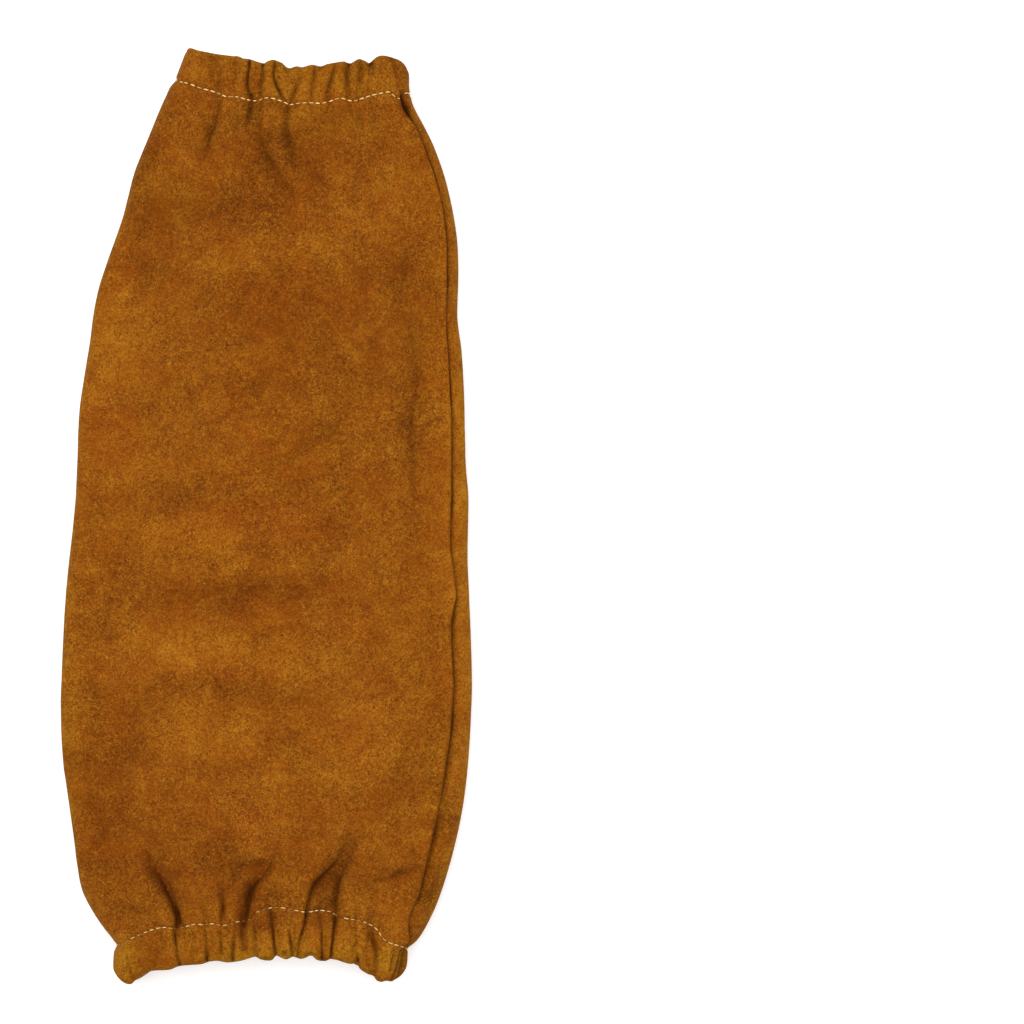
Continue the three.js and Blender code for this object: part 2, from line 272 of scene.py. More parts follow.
upperArmHem = {
    "node": "upper_arm_hem",
    "place": "upper_arm",
    "cut": (0.4, 0.052),
    "outward": -1,
    "rows": [
        (-1.18, -210, -222),
        (-1.06, -207.4, -228.5),
        (-0.83, -202, -222.5),
        (-0.36, -199.6, -218.3),
        (0, -193.5, -215.9),
        (0.54, -193.6, -216.6),
        (0.83, -200, -221.5),
        (1.02, -210, -227),
        (1.18, -212, -221.5),
    ],
    "frontStitch": [
        (-72.1, -210.3), (-68.9, -208.2), (-62.6, -205), (-57.8, -203.1), (-54.1, -201.9),
        (-49.8, -201.4), (-45.1, -201.9), (-41.3, -201.3), (-35.5, -199.9), (-30.7, -200), (-26, -199.6),
        (-21.7, -200.4), (-18, -199.7), (-14.8, -198.7), (-11.1, -198.3), (-8, -197.2), (-5.3, -194),
        (1.1, -192), (6.2, -191.7), (9.4, -192.1), (15.8, -193.3), (18.4, -193.8), (20.6, -193.8),
        (25.3, -193.1), (31.2, -193.7), (34.4, -195.5), (38.6, -196.9), (42.8, -197.6), (47.1, -198.5),
        (51.6, -200.5), (54, -202.5), (56.6, -206.5), (59.8, -208.7), (64.1, -210.3), (68.8, -212),
    ],
    "frontEdge": [
        (-74.6, -225.6), (-71.8, -228.2), (-68.4, -229.2), (-65.4, -228.2), (-62.8, -225.6),
        (-59.4, -223.4), (-55.1, -222.5), (-47.7, -222), (-44, -220.5), (-40.3, -219.9), (-32.3, -219.3),
        (-28.1, -218), (-24.4, -217.7), (-19.1, -218.5), (-12.7, -217.7), (-8.5, -216.5), (-5.8, -215.8),
        (-3.2, -217), (0.5, -217.6), (2.8, -217.2), (4.7, -215.3), (7.4, -216.3), (9.8, -217),
        (13.1, -215.8), (16.9, -216.8), (19.8, -216), (21.9, -214.9), (25, -217.3), (29, -217.8),
        (31.6, -216.9), (34.9, -217.4), (38.6, -218.6), (41.8, -219.2), (44.6, -218.4), (45.6, -221.3),
        (49.2, -223.9), (52.4, -225.3), (53.7, -227.2), (55.8, -228), (59.4, -227.5), (63.2, -228),
        (66.4, -228.9), (68.8, -227),
    ],
    "dips": [
        (-57, -56), (-45.2, -42.6), (-36.2, -36), (-30.8, -29.4), (-21.8, -17), (-12.6, -11.6),
        (-6, -4.8), (1.6, 4.2), (11.2, 12.8), (19.2, 15.6), (26.4, 27.4), (34.3, 31.6), (45.2, 43.8),
        (51.2, 53.2),
    ],
    "backDips": 19,
    "cornerSharp": 1,
    "cornerLean": 0,
    "stripShade": 0.25,  # painted shade on the strip beside the seam, which lies lower
    "threadPull": (0.22, 1.15),
    "threadLost": [(-6.6, -4.6), (34.2, 36.2)],
    "seamNear": -210,
}
hemForm = {
    "thickness": 7.6,  # both plies with the elastic between them
    "rawEdge": 5,
    "rawDrop": 0.6,
    "plyGap": 0.3,
    "channelStart": 4,
    "ringAt": 8,  # mm out from the stitches where the ring is measured, and where the seam's place is read
    "seamAt": 6,
    "frontEnds": ((1.3, 1.6), (4.4, 4.7)),  # places where the front's lines pass into the underside's
    "cornerSpan": ((4.15, 4.5), (4.85, 5)),
    "stripEnd": (1.5, 2),
    "looseSpan": ((1.6, 2), (4, 4.4)),  # the underside's edge, where creases pull it back
    "puffShare": 0.2,  # height of a puff for each mm of its width
    "puffMost": 2.2,
    # painted shade in the dips between the puffs
    "dipShade": 0.24,
    "notchShare": 0.45,  # how far a crease pulls the folded edge back
    "notchMost": 3,
    "edgeFrom": (0.4, 1),  # share of the way out over which that sets in
    "innerPuff": 0.45,
    "seamShare": 0.5,
    "seamLean": 0.18,  # the seam slants away from the side over the hem
    "stitchGroove": 0.7,
    "stitchGrooveWidth": 1.0,
    # painted shade in the stitch groove
    "grooveShade": 0.12,
    "sewnFlat": 0.42,  # the thread holds the leather flat, so creases fade beside it
    "sewnReach": 1.8,
    "gatherFade": 9,
    "deepest": 2.4,  # folds deeper than this flatten out over the band of elastic
    "deepestSpare": 0.9,
    "deepestRise": 0.3,
    # painted shade on the turned edges
    "edgeShade": 0.12,
    "bandOuter": 4.8,
    "bandInner": 6.0,
    "bandMargin": 1,
    "bandRows": 9,
    # rows of points over the outer ply, round the turn, down the inner ply and on to the stitches
    "outerRows": 34,
    "turnRows": 18,
    "innerRows": 9,
    "pinchRows": 5,
    # the outer ply's inside in a few rows: share of the way out, and the outer rows it keeps below
    "insideTurnRows": 5,
    "insideTurn": (22, 36),
    "insideOuter": [(0.66, (11, 34)), (0.33, (0, 23)), (0.0, (0, 12))],
}


def acrossAt(x, y):
    half = (outline["right"](y) - outline["left"](y)) / 2 - outline["roll"](y)
    return (x - (outline["right"](y) + outline["left"](y)) / 2) / half


def asLaid(points, kind):
    # a raised place shows further out from under the eye than it lies, and this takes it back
    seen, eye = np.array(points, float), np.array(view["eye"])
    laid = seen
    for _ in range(3):
        x, y = laid[:, 0], laid[:, 1]
        height = tube(np.clip(acrossAt(x, y), -1, 1), y)[0][:, 2] - view["sunk"][kind]
        share = (view["distance"] - height) / (view["distance"] - view["outlineHeight"])
        laid = eye + (seen - eye) * share[:, None]
    return laid


def fitHem(hem):
    # curves of one hem, and its ring measured in mm from the folded side
    for line in ("stitch", "edge"):
        name = line.capitalize()
        hem["rough" + name + "At"] = columnCurve(hemColumns, hem["rows"], line)
        measured = [(float(acrossAt(x, y)), y) for x, y in asLaid(hem["front" + name], name)]
        hem["front" + name + "At"] = columnCurve(frontColumns, measured, "y")
    y = float(hem["roughStitchAt"](np.array(0.0))) + hem["outward"] * hemForm["ringAt"]
    roll, rollHeight = float(outline["roll"](y)), float(outline["rollHeight"](y))
    left, right = float(outline["left"](y)), float(outline["right"](y))
    hem["half"] = (right - left) / 2 - roll
    hem["reach"] = roll / hem["half"]
    hem["rollArc"] = math.pi * math.sqrt((roll**2 + rollHeight**2) / 2)
    hem["ringLength"] = 4 * hem["half"] + 2 * hem["rollArc"]


def ringMm(hem, place):
    half, arc = hem["half"], hem["rollArc"]
    return np.interp(place, [-1, 1, 2, 4, 5], np.cumsum([0, 2 * half, arc, 2 * half, arc]))


def acrossOf(hem, place):
    onSeam, onFold = (place > 1) & (place < 2), place > 4
    bend = np.where(onSeam, np.sin(math.pi * (place - 1)), np.sin(math.pi * (place - 4)))
    flat = np.where(place <= 1, place, 3 - place)
    return np.where(onSeam, 1 + hem["reach"] * bend, np.where(onFold, -1 - hem["reach"] * bend, flat))


def hemLine(hem, place, line):
    # the front follows its own measured line, and the underside keeps the plain one
    across = acrossOf(hem, place)
    plain = hem["rough" + line + "At"](across)
    measured = hem["front" + line + "At"](across)
    seamEnd, foldEnd = hemForm["frontEnds"]
    onSides = np.where(place < 2, 1 - smoothStep(*seamEnd, place), smoothStep(*foldEnd, place))
    return plain + (measured - plain) * np.where(place <= 1, 1, onSides)


def seamLevel(hem):
    # where the seam crosses the stitch line
    return float(hemLine(hem, seamPlace(np.array(hem["seamNear"], float)), "Stitch"))


random = np.random.default_rng(18)

# Loose dips round the sides and the underside: least and most in mm, or the most either way
backDip = {
    "sideStart": 0.3,  # share of the side's arc before the first one
    "shift": 0.25,  # share of the step between two
    "lean": 1.5,
    "depth": (1, 2.4),
    "width": (0.6, 1),
    "run": (5, 14),  # into the body
}


def dipRows(hem):
    # dips of the front from the table, then the loose ones: place at the stitches and at the edge, crease
    # depth, crease width and its run
    half = hem["half"]
    ends = []
    for k, line in enumerate(("Stitch", "Edge")):
        y = float(hem["front" + line + "At"](np.array(0.0)))
        x = asLaid([(dip[k], y) for dip in hem["dips"]], line)[:, 0]
        ends.append(half * (1 + acrossAt(x, y)))
    rows = [(atStitch, atEdge, 0, 1, 1) for atStitch, atEdge in zip(*ends)]
    start = 2 * half + backDip["sideStart"] * hem["rollArc"]
    stop = hem["ringLength"] - backDip["sideStart"] * hem["rollArc"]
    step = (stop - start) / hem["backDips"]
    shift, lean = backDip["shift"], backDip["lean"]
    for i in range(hem["backDips"]):
        at = start + step * (i + 0.5 + random.uniform(-shift, shift))
        atEdge = at + random.uniform(-lean, lean)
        rows.append((at, atEdge, *[random.uniform(*backDip[name]) for name in ("depth", "width", "run")]))
    return np.array(sorted(rows))


# Puffs between the dips, and the creases in the loose ones, in mm
gatherForm = {
    "hemDepth": 18,  # over which a dip runs from its place at the stitches to that at the edge
    "pinch": 0.3,  # share by which the thread holds the puffs down
    "pinchReach": 2,
    "leastGap": 0.5,
    "leastPuff": 0.4,
    "roundness": 0.75,
    "dipPower": 4,
    "wideGap": 8,  # dips beside narrower puffs are paler
    "narrowDip": 0.3,
    "widening": 0.15,
    "creaseShare": 0.55,
    "creasePower": 1.3,
    "puffDepth": 0.85,
    "fullShade": 2.4,  # depth at which a crease's painted shade is quite dark
}


def gather(hem, place, distance):
    # inward depth of puffs and creases, and their painted shade; distance is from the stitch line, positive
    # out over the hem
    form = gatherForm
    ring = ringMm(hem, place)
    out = np.clip(distance / form["hemDepth"], 0, 1)
    inBody = np.maximum(-distance, 0)
    fade = np.exp(-((inBody / hemForm["gatherFade"]) ** 2))
    pinch = 1 - form["pinch"] * np.exp(-((distance / form["pinchReach"]) ** 2))
    rows = hem["dipRows"]
    rise = hemForm["puffMost"]
    bump, dip, crease = np.zeros((3, *ring.shape))
    for i, first in enumerate(rows):
        second = rows[(i + 1) % len(rows)]
        wrap = hem["ringLength"] if i == len(rows) - 1 else 0
        begin = first[0] + (first[1] - first[0]) * out
        end = second[0] + (second[1] - second[0]) * out + wrap
        gap = np.maximum(end - begin, form["leastGap"])
        pale = np.clip(gap / form["wideGap"], form["narrowDip"], 1)
        for turn in (0, wrap):
            t = (ring + turn - begin) / gap
            inside = (t >= 0) & (t < 1)
            height = np.clip(hemForm["puffShare"] * gap, form["leastPuff"], rise)
            puff = (4 * t * (1 - t)).clip(0) ** form["roundness"]
            bump = np.where(inside, height * puff, bump)
            dip = np.where(inside, (1 - puff) ** form["dipPower"] * pale, dip)
        _, _, depth, width, run = first
        away = np.abs(ring - begin)
        away = np.minimum(away, hem["ringLength"] - away)
        width = width * (1 + form["widening"] * inBody)
        reach = np.exp(-((inBody / run) ** 2))
        valley = np.exp(-((away / width) ** form["creasePower"]))
        crease = crease + form["creaseShare"] * depth * reach * valley
    gathered = fade * pinch * (rise - bump) * form["puffDepth"] + crease
    return gathered, crease / form["fullShade"] + hemForm["dipShade"] * fade * dip


# Creases and folds of the front, in mm. Paths run towards the wrist: depth, half width at the low and the
# high end, lean (above 0: steep on the left of the path), strength low, middle and high, and the path
folds = [
    # upper arm hem and the folds that start from it
    (2.1, 0.6, 0.8, 0, 0.5, 1, 0.6, [(-42.6, -223), (-43.9, -214), (-45, -207), (-45.3, -202),
     (-44.4, -198)]),
    (3.4, 1.1, 6.6, 0.7, 1, 0.95, 0.35, [(-44.6, -195.6), (-45.5, -193.5), (-47.1, -189.4), (-49, -184.5),
     (-50.8, -180.6), (-52.6, -176.8), (-54.6, -172.6), (-57, -167), (-59.6, -161)]),
    (2.4, 2.0, 1.2, 0.7, 0.4, 1, 0.9, [(-44, -204.4), (-44.4, -201.5), (-44.5, -198.5), (-44.6, -195)]),
    (1.2, 1.4, 1.0, -0.4, 0.3, 1, 0.3, [(-39.6, -203), (-41.8, -200.4), (-43.4, -197), (-45.2, -192.4)]),
    (0.7, 1.2, 1.2, 0, 0.4, 1, 0.2, [(-36, -214), (-36, -207), (-36.6, -202)]),
    (1.3, 1.2, 1.1, 0, 0.6, 1, 0.2, [(-29.8, -214), (-30.4, -207), (-31, -200), (-31.3, -195),
     (-32, -190)]),
    (1.7, 0.6, 0.8, 0, 0.9, 1, 0.1, [(-29.3, -223), (-29.5, -216), (-29.8, -210)]),
    (1.5, 0.7, 0.8, 0, 0.4, 1, 0.5, [(-22, -216), (-22.4, -210), (-22.7, -203)]),
    (2.1, 0.8, 1.8, 0.2, 0.6, 1, 0.1, [(-22.6, -199.5), (-22.2, -195.5), (-21.9, -191), (-22.4, -185),
     (-23.4, -179)]),
    (1.8, 0.6, 0.8, 0, 1, 0.8, 0.4, [(-16.6, -223), (-16.7, -214), (-16.2, -207), (-15.7, -200.5)]),
    (1.5, 1.4, 2.0, 0, 0.2, 1, 0.8, [(-10.8, -214), (-11.6, -209), (-12.2, -203), (-12, -198.5)]),
    (1.3, 1.0, 1.2, -0.4, 0.6, 1, 0.4, [(-4.6, -219), (-5.4, -209), (-5.9, -202), (-6.4, -197)]),
    (3.6, 2.5, 5.4, -0.45, 0.9, 1, 0.35, [(-11.2, -199), (-10.6, -196.4), (-9.9, -191), (-8.8, -186.3),
     (-6.8, -181), (-3.2, -176.6), (0.7, -171.5), (2.9, -166), (5, -159)]),
    (1.6, 1.4, 1.8, -0.3, 0.4, 1, 0.2, [(-10.8, -197), (-9.6, -189), (-7.6, -182.4), (-4.6, -178)]),
    (1.2, 2.8, 2.8, 0, 0.2, 1, 0.6, [(-20, -171.5), (-11, -171), (-2, -170)]),
    (2.4, 0.6, 1.3, -0.5, 0.8, 1, 0.5, [(5.2, -221), (3.9, -211), (3.2, -203.5), (2.6, -198),
     (2.2, -193)]),
    (2.0, 0.55, 0.7, 0, 0.9, 1, 0.2, [(13, -221), (12.2, -211.5), (11.3, -205), (11.2, -200)]),
    (2.5, 0.55, 0.8, 0, 0.5, 1, 0.6, [(14.6, -221), (16.1, -208.2), (17.6, -203.7), (18.8, -199.2),
     (19.5, -194)]),
    (2.6, 0.9, 3.4, 0.55, 0.6, 1, 0.3, [(19.4, -196), (19.6, -192.3), (20.6, -187.9), (22, -183.8),
     (23.4, -180.8), (26.5, -177.3), (30.1, -174.1), (33.3, -170.9), (36.6, -166), (39.4, -160)]),
    (2.0, 0.6, 0.7, 0, 0.8, 1, 0.2, [(27.4, -222), (27, -209), (27.2, -203), (26.2, -197.5)]),
    (2.6, 0.55, 0.8, 0, 0.9, 1, 0.9, [(31.4, -222), (32, -211.4), (32.6, -207.3), (33.2, -202.5),
     (34, -197)]),
    (2.5, 1.2, 3.8, -0.5, 0.7, 0.9, 0.25, [(34, -198), (34.2, -193.2), (34.4, -187), (35.4, -179),
     (38, -172.6), (41, -166), (43, -160)]),
    (1.3, 4.4, 4.4, 0, 0.6, 1, 0.2, [(26.5, -196), (28, -187), (31.5, -178), (37, -168)]),
    (1.4, 0.7, 1.2, 0, 1, 0.8, 0.2, [(44.8, -222), (44.4, -216), (43.2, -212.5), (45, -206.5)]),
    (1.9, 1.6, 1.5, 0, 0.5, 1, 0.3, [(52.4, -226), (53.2, -218), (53, -212), (51.6, -206), (51, -201.5),
     (51.4, -196)]),
    (1.1, 0.7, 0.7, 0, 0.9, 1, 0.2, [(60.6, -223), (61.4, -218), (62.6, -212.5)]),
    (1.1, 0.8, 0.8, 0, 0.6, 1, 0.2, [(-64.6, -227), (-67.4, -221.5), (-69.4, -216)]),
    (1.7, 1.8, 2.0, 0, 0.2, 1, 0.5, [(50, -179.8), (58.8, -177.7), (65.1, -174.5), (74, -172)]),
    (0.7, 1.5, 1.5, 0, 0.2, 1, 0.2, [(52, -175.6), (58.5, -173.6), (63, -173.2)]),
    (0.7, 1.5, 1.5, 0, 0.2, 1, 0.2, [(66, -168), (71, -166.6), (76, -167)]),
    (1.2, 2.8, 2.8, 0, 0.2, 1, 0.2, [(-79, -189), (-70, -191.5), (-59, -193.4), (-54, -193.5)]),
    (0.8, 3.5, 3.5, 0, 0.2, 1, 0.2, [(-46, -161), (-36, -161.5), (-26, -160)]),
    # wrist hem and the folds that run up to it
    (2.2, 3.2, 2.0, -0.3, 0.1, 1, 0.3, [(-33, 170), (-31.6, 176), (-30, 181.4), (-28.4, 186.3),
     (-26.4, 191.6), (-24.4, 197.7), (-23.6, 204)]),
    (0.5, 1.6, 1.6, 0, 0.2, 1, 0.5, [(-26.4, 208), (-27.4, 214), (-26.6, 224)]),
    (0.6, 1.4, 1.2, 0, 0.4, 1, 0.3, [(-24.2, 206), (-23.8, 212), (-22.6, 219)]),
    (2.1, 2.8, 1.6, 0.2, 0.15, 1, 0.75, [(-12, 187), (-9.4, 192), (-8.3, 197.7), (-7.7, 202),
     (-7.8, 205)]),
    (2.4, 0.8, 0.5, 0, 0.4, 1, 0.7, [(-8, 204.8), (-9.2, 207.6), (-9.8, 211), (-9.5, 215), (-8.9, 219.8),
     (-8.6, 228)]),
    (0.8, 2, 2, 0, 0.1, 1, 0.2, [(-16, 185), (-14.8, 192), (-14.4, 199)]),
    (1.2, 1.2, 0.9, 0, 0.2, 1, 0.7, [(-3.4, 201), (-3.2, 208), (-2.4, 216), (-2, 226)]),
    (2.1, 3.6, 2.4, -0.25, 0.6, 0.9, 0.1, [(12, 156), (8.6, 161.6), (3.9, 169.2), (-0.4, 175.6),
     (-3.1, 183.6), (-4, 190.6), (-3.4, 200)]),
    (1.9, 4.0, 1.6, 0, 0.4, 1, 0.65, [(16.5, 167), (14.1, 171.7), (12.4, 177.3), (10.5, 183), (9.7, 188),
     (9.8, 194), (10.3, 200)]),
    (2.4, 0.8, 0.5, 0, 0.3, 1, 0.4, [(9.2, 202), (7.7, 203.9), (6.1, 206.9), (4.3, 211), (3.2, 215.4),
     (3.7, 219.6), (4, 228)]),
    (1.1, 3.5, 3, 0, 0.1, 1, 0.3, [(37, 157), (25, 165.5), (16.5, 172)]),
    (1.2, 1.1, 0.9, 0, 0.6, 1, 0.3, [(11, 199), (12.6, 204), (15, 210), (17.4, 216)]),
    (0.9, 1.3, 1.1, 0, 0.2, 1, 0.4, [(22.2, 203), (22.6, 208), (23.4, 216), (23.6, 225)]),
    (1.1, 1.4, 1.1, 0, 0.3, 1, 0.3, [(29.4, 201), (30.3, 207.2), (31.3, 211.4), (33.2, 218),
     (33.8, 222)]),
    (1.6, 1.3, 1.0, 0, 0.2, 1, 0.6, [(41.4, 200), (40.6, 204.5), (40, 210), (39.6, 216), (40, 221),
     (40.2, 227)]),
    (1.1, 1.2, 1.0, 0, 0.3, 1, 0.6, [(45.2, 203), (45.8, 209), (46.4, 216), (46.8, 227)]),
    (1.6, 1.0, 0.9, 0, 0.1, 0.5, 1, [(51.8, 215), (51.6, 219), (51.2, 228)]),
    (0.9, 2.4, 2, 0, 0.1, 1, 0.4, [(46.5, 186), (44.8, 194), (43.4, 200)]),
    (0.7, 2.6, 2.2, 0, 0.1, 1, 0.3, [(27.5, 186), (27.8, 194), (28.4, 200)]),
    (2.4, 1.0, 1.6, 0, 0.2, 1, 1, [(72.3, 192.5), (69.9, 196), (67.7, 200), (66.6, 203.8)]),
    # soft folds of the forearm and the elbow; a depth below 0 is a ridge
    (-0.8, 2.6, 2.6, 0, 0.2, 1, 0.2, [(-56, 120), (-62, 134), (-67, 147)]),
    (1.3, 4.2, 4.2, 0.2, 0.2, 1, 0.2, [(65, 98), (69, 118), (71, 132)]),
    (1.4, 4.0, 4.0, 0.3, 0.2, 1, 0.2, [(73, 6), (72, 39), (75, 68), (70, 93)]),
    (1.1, 3.6, 3.6, -0.2, 0.2, 1, 0.2, [(-6, 20), (10, 28), (28, 39), (42, 52)]),
    (-0.9, 4.5, 4.5, 0, 0.2, 1, 0.2, [(-10, 126), (8, 129), (26, 132), (50, 144)]),
    (1.7, 6.0, 6.0, 0.2, 0.2, 1, 0.2, [(-72, -37), (-38, -43), (2, -37), (44, -46)]),
    (1.3, 4.5, 4.5, 0.2, 0.2, 1, 0.2, [(-80, -140), (-67, -113), (-64, -95), (-43, -82), (-8, -88),
     (40, -95)]),
    (1.3, 5.0, 5.0, 0, 0.2, 1, 0.2, [(-82, -164), (-86, -140), (-86, -116)]),
    (1.0, 4.0, 4.0, 0, 0.2, 1, 0.2, [(64, -138), (66, -122), (68, -108)]),
    (0.9, 5.0, 5.0, 0, 0.2, 1, 0.2, [(-84, 60), (-70, 52), (-50, 50)]),
    (0.8, 4.5, 4.5, 0, 0.2, 1, 0.2, [(-70, 8), (-48, 14), (-20, 10)]),
    (0.8, 5.0, 5.0, 0, 0.2, 1, 0.2, [(30, 92), (44, 82), (58, 84)]),
    (0.8, 5.0, 5.0, 0, 0.2, 1, 0.2, [(-52, 112), (-34, 100), (-14, 102)]),
    (0.9, 5.0, 5.0, 0, 0.2, 1, 0.2, [(10, -128), (30, -122), (54, -126)]),
]
softHollows = [  # middle x, y, half length, half width, depth, turn in degrees
    (-14, -41, 58, 13, 2.6, 1),
    (73, 52, 46, 10, 1.8, 90),
    (68, 116, 18, 10, 1.8, 105),
    (22, 36, 30, 11, 1.6, 32),
    (-68, -112, 34, 11, 2.4, 72),
    (-4, -88, 44, 11, 1.6, -8),
    (24, 166, 24, 10, 2.2, -46),
    (-68, 140, 14, 12, 2, 20),
]

# Painted shade of tight little folds along the turned edges and of the pocket where the wrist seam ends:
# middle x, y, half length, half width, shade, turn
paintedRimShade = [
    (-0.5, -216.6, 5.5, 2.2, 0.5, 0), (8.6, -213.6, 2.2, 2.6, 0.7, 80), (20.2, -214.2, 5, 2, 0.7, 8),
    (27.6, -216.4, 4.5, 2, 0.55, -12), (36, -217, 4, 1.2, 0.3, 0), (44.6, -217.4, 2.6, 1.2, 0.7, 90),
    (-42.6, -219, 2.6, 1.4, 0.4, 90), (-29.2, -217.2, 2.4, 1.4, 0.3, 90), (-17, -217, 2.6, 1.4, 0.3, 90),
    (68.3, 199, 7, 3.6, 0.75, 114), (-9.2, 221.6, 2.4, 1.4, 0.6, 90), (-2.4, 220.4, 2.4, 1.6, 0.6, 90),
    (11, 218.4, 4.5, 1.5, 0.6, 10), (26.6, 219, 3.5, 1.4, 0.6, 0), (40.8, 220.8, 2.6, 1.6, 0.7, 60),
    (50.6, 220.8, 3, 1.8, 0.9, 30),
]


def smoothPath(points, perStep=16):
    # curve through listed points
    points = np.array(points, float)
    padded = np.vstack([2 * points[0] - points[1], points, 2 * points[-1] - points[-2]])
    path = []
    for i in range(1, len(padded) - 2):
        t = np.linspace(0, 1, perStep, endpoint=False)[:, None]
        p0, p1, p2, p3 = padded[i - 1 : i + 3]
        path.append(
            0.5 * (2 * p1 + (p2 - p0) * t + (2 * p0 - 5 * p1 + 4 * p2 - p3) * t**2
                   + (3 * p1 - p0 - 3 * p2 + p3) * t**3)
        )
    return np.vstack([*path, points[-1:]])


# Cross section of every fold, in shares of its half width, and the painted shade inside it
foldForm = {
    "reach": 4.5,
    "lean": 0.6,
    "bank": 0.16,  # soft ridge along both sides
    "bankAt": 2.4,
    "bankWidth": 0.9,
    "core": (0.8, 0.75),  # shade, and how far out it goes
    "halo": (0.32, 1.8),
    "wide": 6,  # half width in mm from which a fold keeps only the least shade, fading in over the next
    "wideFade": 4,
    "leastShade": 0.15,
    "fullDepth": 2.6,
    "mostShade": 1.1,
    "tiny": 1e-6,  # a point on the path itself has no side
}


def foldRelief(x, y):
    # inward depth of the folds and the painted shade in the narrow ones
    form = foldForm
    depthSum, shadeSum = np.zeros_like(x), np.zeros_like(x)
    for depth, lowWidth, highWidth, lean, low, middle, high, points in folds:
        path = asLaid(smoothPath(points), "Fold")
        heading = np.gradient(path, axis=0)
        heading /= np.linalg.norm(heading, axis=1, keepdims=True)
        margin = form["reach"] * max(lowWidth, highWidth)
        lowest, highest = path.min(0) - margin, path.max(0) + margin
        near = (x > lowest[0]) & (x < highest[0]) & (y > lowest[1]) & (y < highest[1])
        px, py = x[near], y[near]
        if not len(px):
            continue
        dx, dy = px[:, None] - path[:, 0], py[:, None] - path[:, 1]
        closest = np.argmin(dx**2 + dy**2, axis=1)
        row = np.arange(len(px))
        dx, dy = dx[row, closest], dy[row, closest]
        away = np.hypot(dx, dy) + form["tiny"]
        leftward = (heading[closest, 0] * dy - heading[closest, 1] * dx) / away
        along = closest / (len(path) - 1)
        strength = np.interp(along, [0, 0.5, 1], [low, middle, high])
        width = (lowWidth + (highWidth - lowWidth) * along) * (1 - form["lean"] * lean * leftward)
        ratio = away / width
        bank = form["bank"] * np.exp(-(((ratio - form["bankAt"]) / form["bankWidth"]) ** 2))
        valley = 1 / (1 + ratio**2) ** 2 - bank
        depthSum[near] += depth * strength * valley
        narrow = np.clip((form["wide"] - width) / form["wideFade"], form["leastShade"], 1)
        dark = sum(shade * np.exp(-((ratio / reach) ** 2)) for shade, reach in (form["core"], form["halo"]))
        deep = min(max(depth, 0) / form["fullDepth"], form["mostShade"])
        shadeSum[near] += deep * strength * narrow * dark
    return depthSum, shadeSum


# Clouds of the dye where the hide took more or less of it, mixed with painted shade in some folds and
# painted light on the sides that turn from the lamps: middle x, y, half length, half width, tone, turn
dyeAndPaintedLightClouds = [
    (2, 174, 48, 40, -0.08, 80), (60, 155, 36, 26, 0.05, 0), (-60, 143, 30, 24, -0.06, 65),
    (-6, 128, 56, 14, 0.06, 4), (4, 103, 52, 22, -0.07, 0), (68, 112, 30, 18, -0.08, 100),
    (-76, 86, 44, 30, 0.13, 70), (6, 76, 60, 30, -0.04, 0), (-58, 22, 42, 16, 0.09, 6),
    (54, 28, 22, 16, 0.05, 60), (-46, -10, 66, 14, 0.07, 2), (-8, -39, 70, 15, -0.09, 2),
    (-34, -67, 64, 18, 0.11, -4), (26, -68, 40, 16, 0.06, 0), (-76, -112, 66, 18, -0.07, 92),
    (-30, -105, 44, 24, 0.09, 0), (48, -108, 40, 32, 0.08, 40), (94, -10, 180, 17, 0.08, 91),
    (-6, -178, 100, 28, -0.06, 0), (-78, -158, 34, 20, -0.07, 75), (56, -194, 34, 20, 0.07, -30),
    (-34, 213, 26, 16, 0.05, -15), (28, 212, 58, 14, 0.09, 0), (46, -212, 26, 16, 0.13, -20),
    (-14, -211, 50, 14, 0.1, 5), (18, -212, 34, 12, 0.05, 0), (-52, 122, 44, 24, -0.06, 70),
    (-12, 151, 32, 14, -0.07, 0), (-4, 56, 30, 24, -0.06, 0), (80, 68, 44, 14, 0.05, 90),
    (-42, -24, 20, 10, 0.07, 0), (-97, -84, 46, 11, 0.09, 90), (76, -154, 34, 15, 0.06, 100),
    (-58, -134, 20, 14, 0.04, 0), (-55.5, -174.5, 15, 6, -0.14, 116), (-10, -171.5, 13, 6, -0.1, 12),
    (60, 212, 16, 14, 0.04, 0), (10, 195, 30, 10, 0.07, 0), (-66, 147, 14, 17, -0.06, 65),
    (67, 4, 14, 11, -0.08, 0), (10, -24, 18, 9, 0.06, 0), (22, -187, 11, 8, 0.07, 60),
    (68, -170, 17, 9, 0.06, 10), (-80, 24, 16, 11, -0.05, 0), (-66, -187, 15, 8, 0.05, 0),
    (79, -187, 22, 6, -0.09, 70), (-62, 172, 46, 11, -0.08, 61), (96, 0, 190, 10, 0.07, 91),
    (-67, 172, 46, 5, -0.05, 61), (-5.3, 213, 10, 3.6, -0.13, 87), (-27, 219, 9, 3.2, -0.1, 82),
    (-20.6, 211, 8, 3.2, -0.08, 80), (-71, -218, 18, 13, 0.14, 70), (59, -218, 14, 10, 0.11, 60),
    (0, -216.5, 64, 5, 0.06, 0), (-1.6, -200, 7, 4.2, -0.1, 70), (-20, -27, 46, 16, 0.05, 0),
    (-60, -85, 46, 17, 0.04, 0), (-30, 150, 62, 18, -0.04, 0), (-40, 120, 50, 16, -0.035, 0),
    (50, 120, 24, 16, -0.03, 0), (-14, 91, 64, 17, -0.035, 0), (24, 62, 52, 16, -0.03, 0),
]

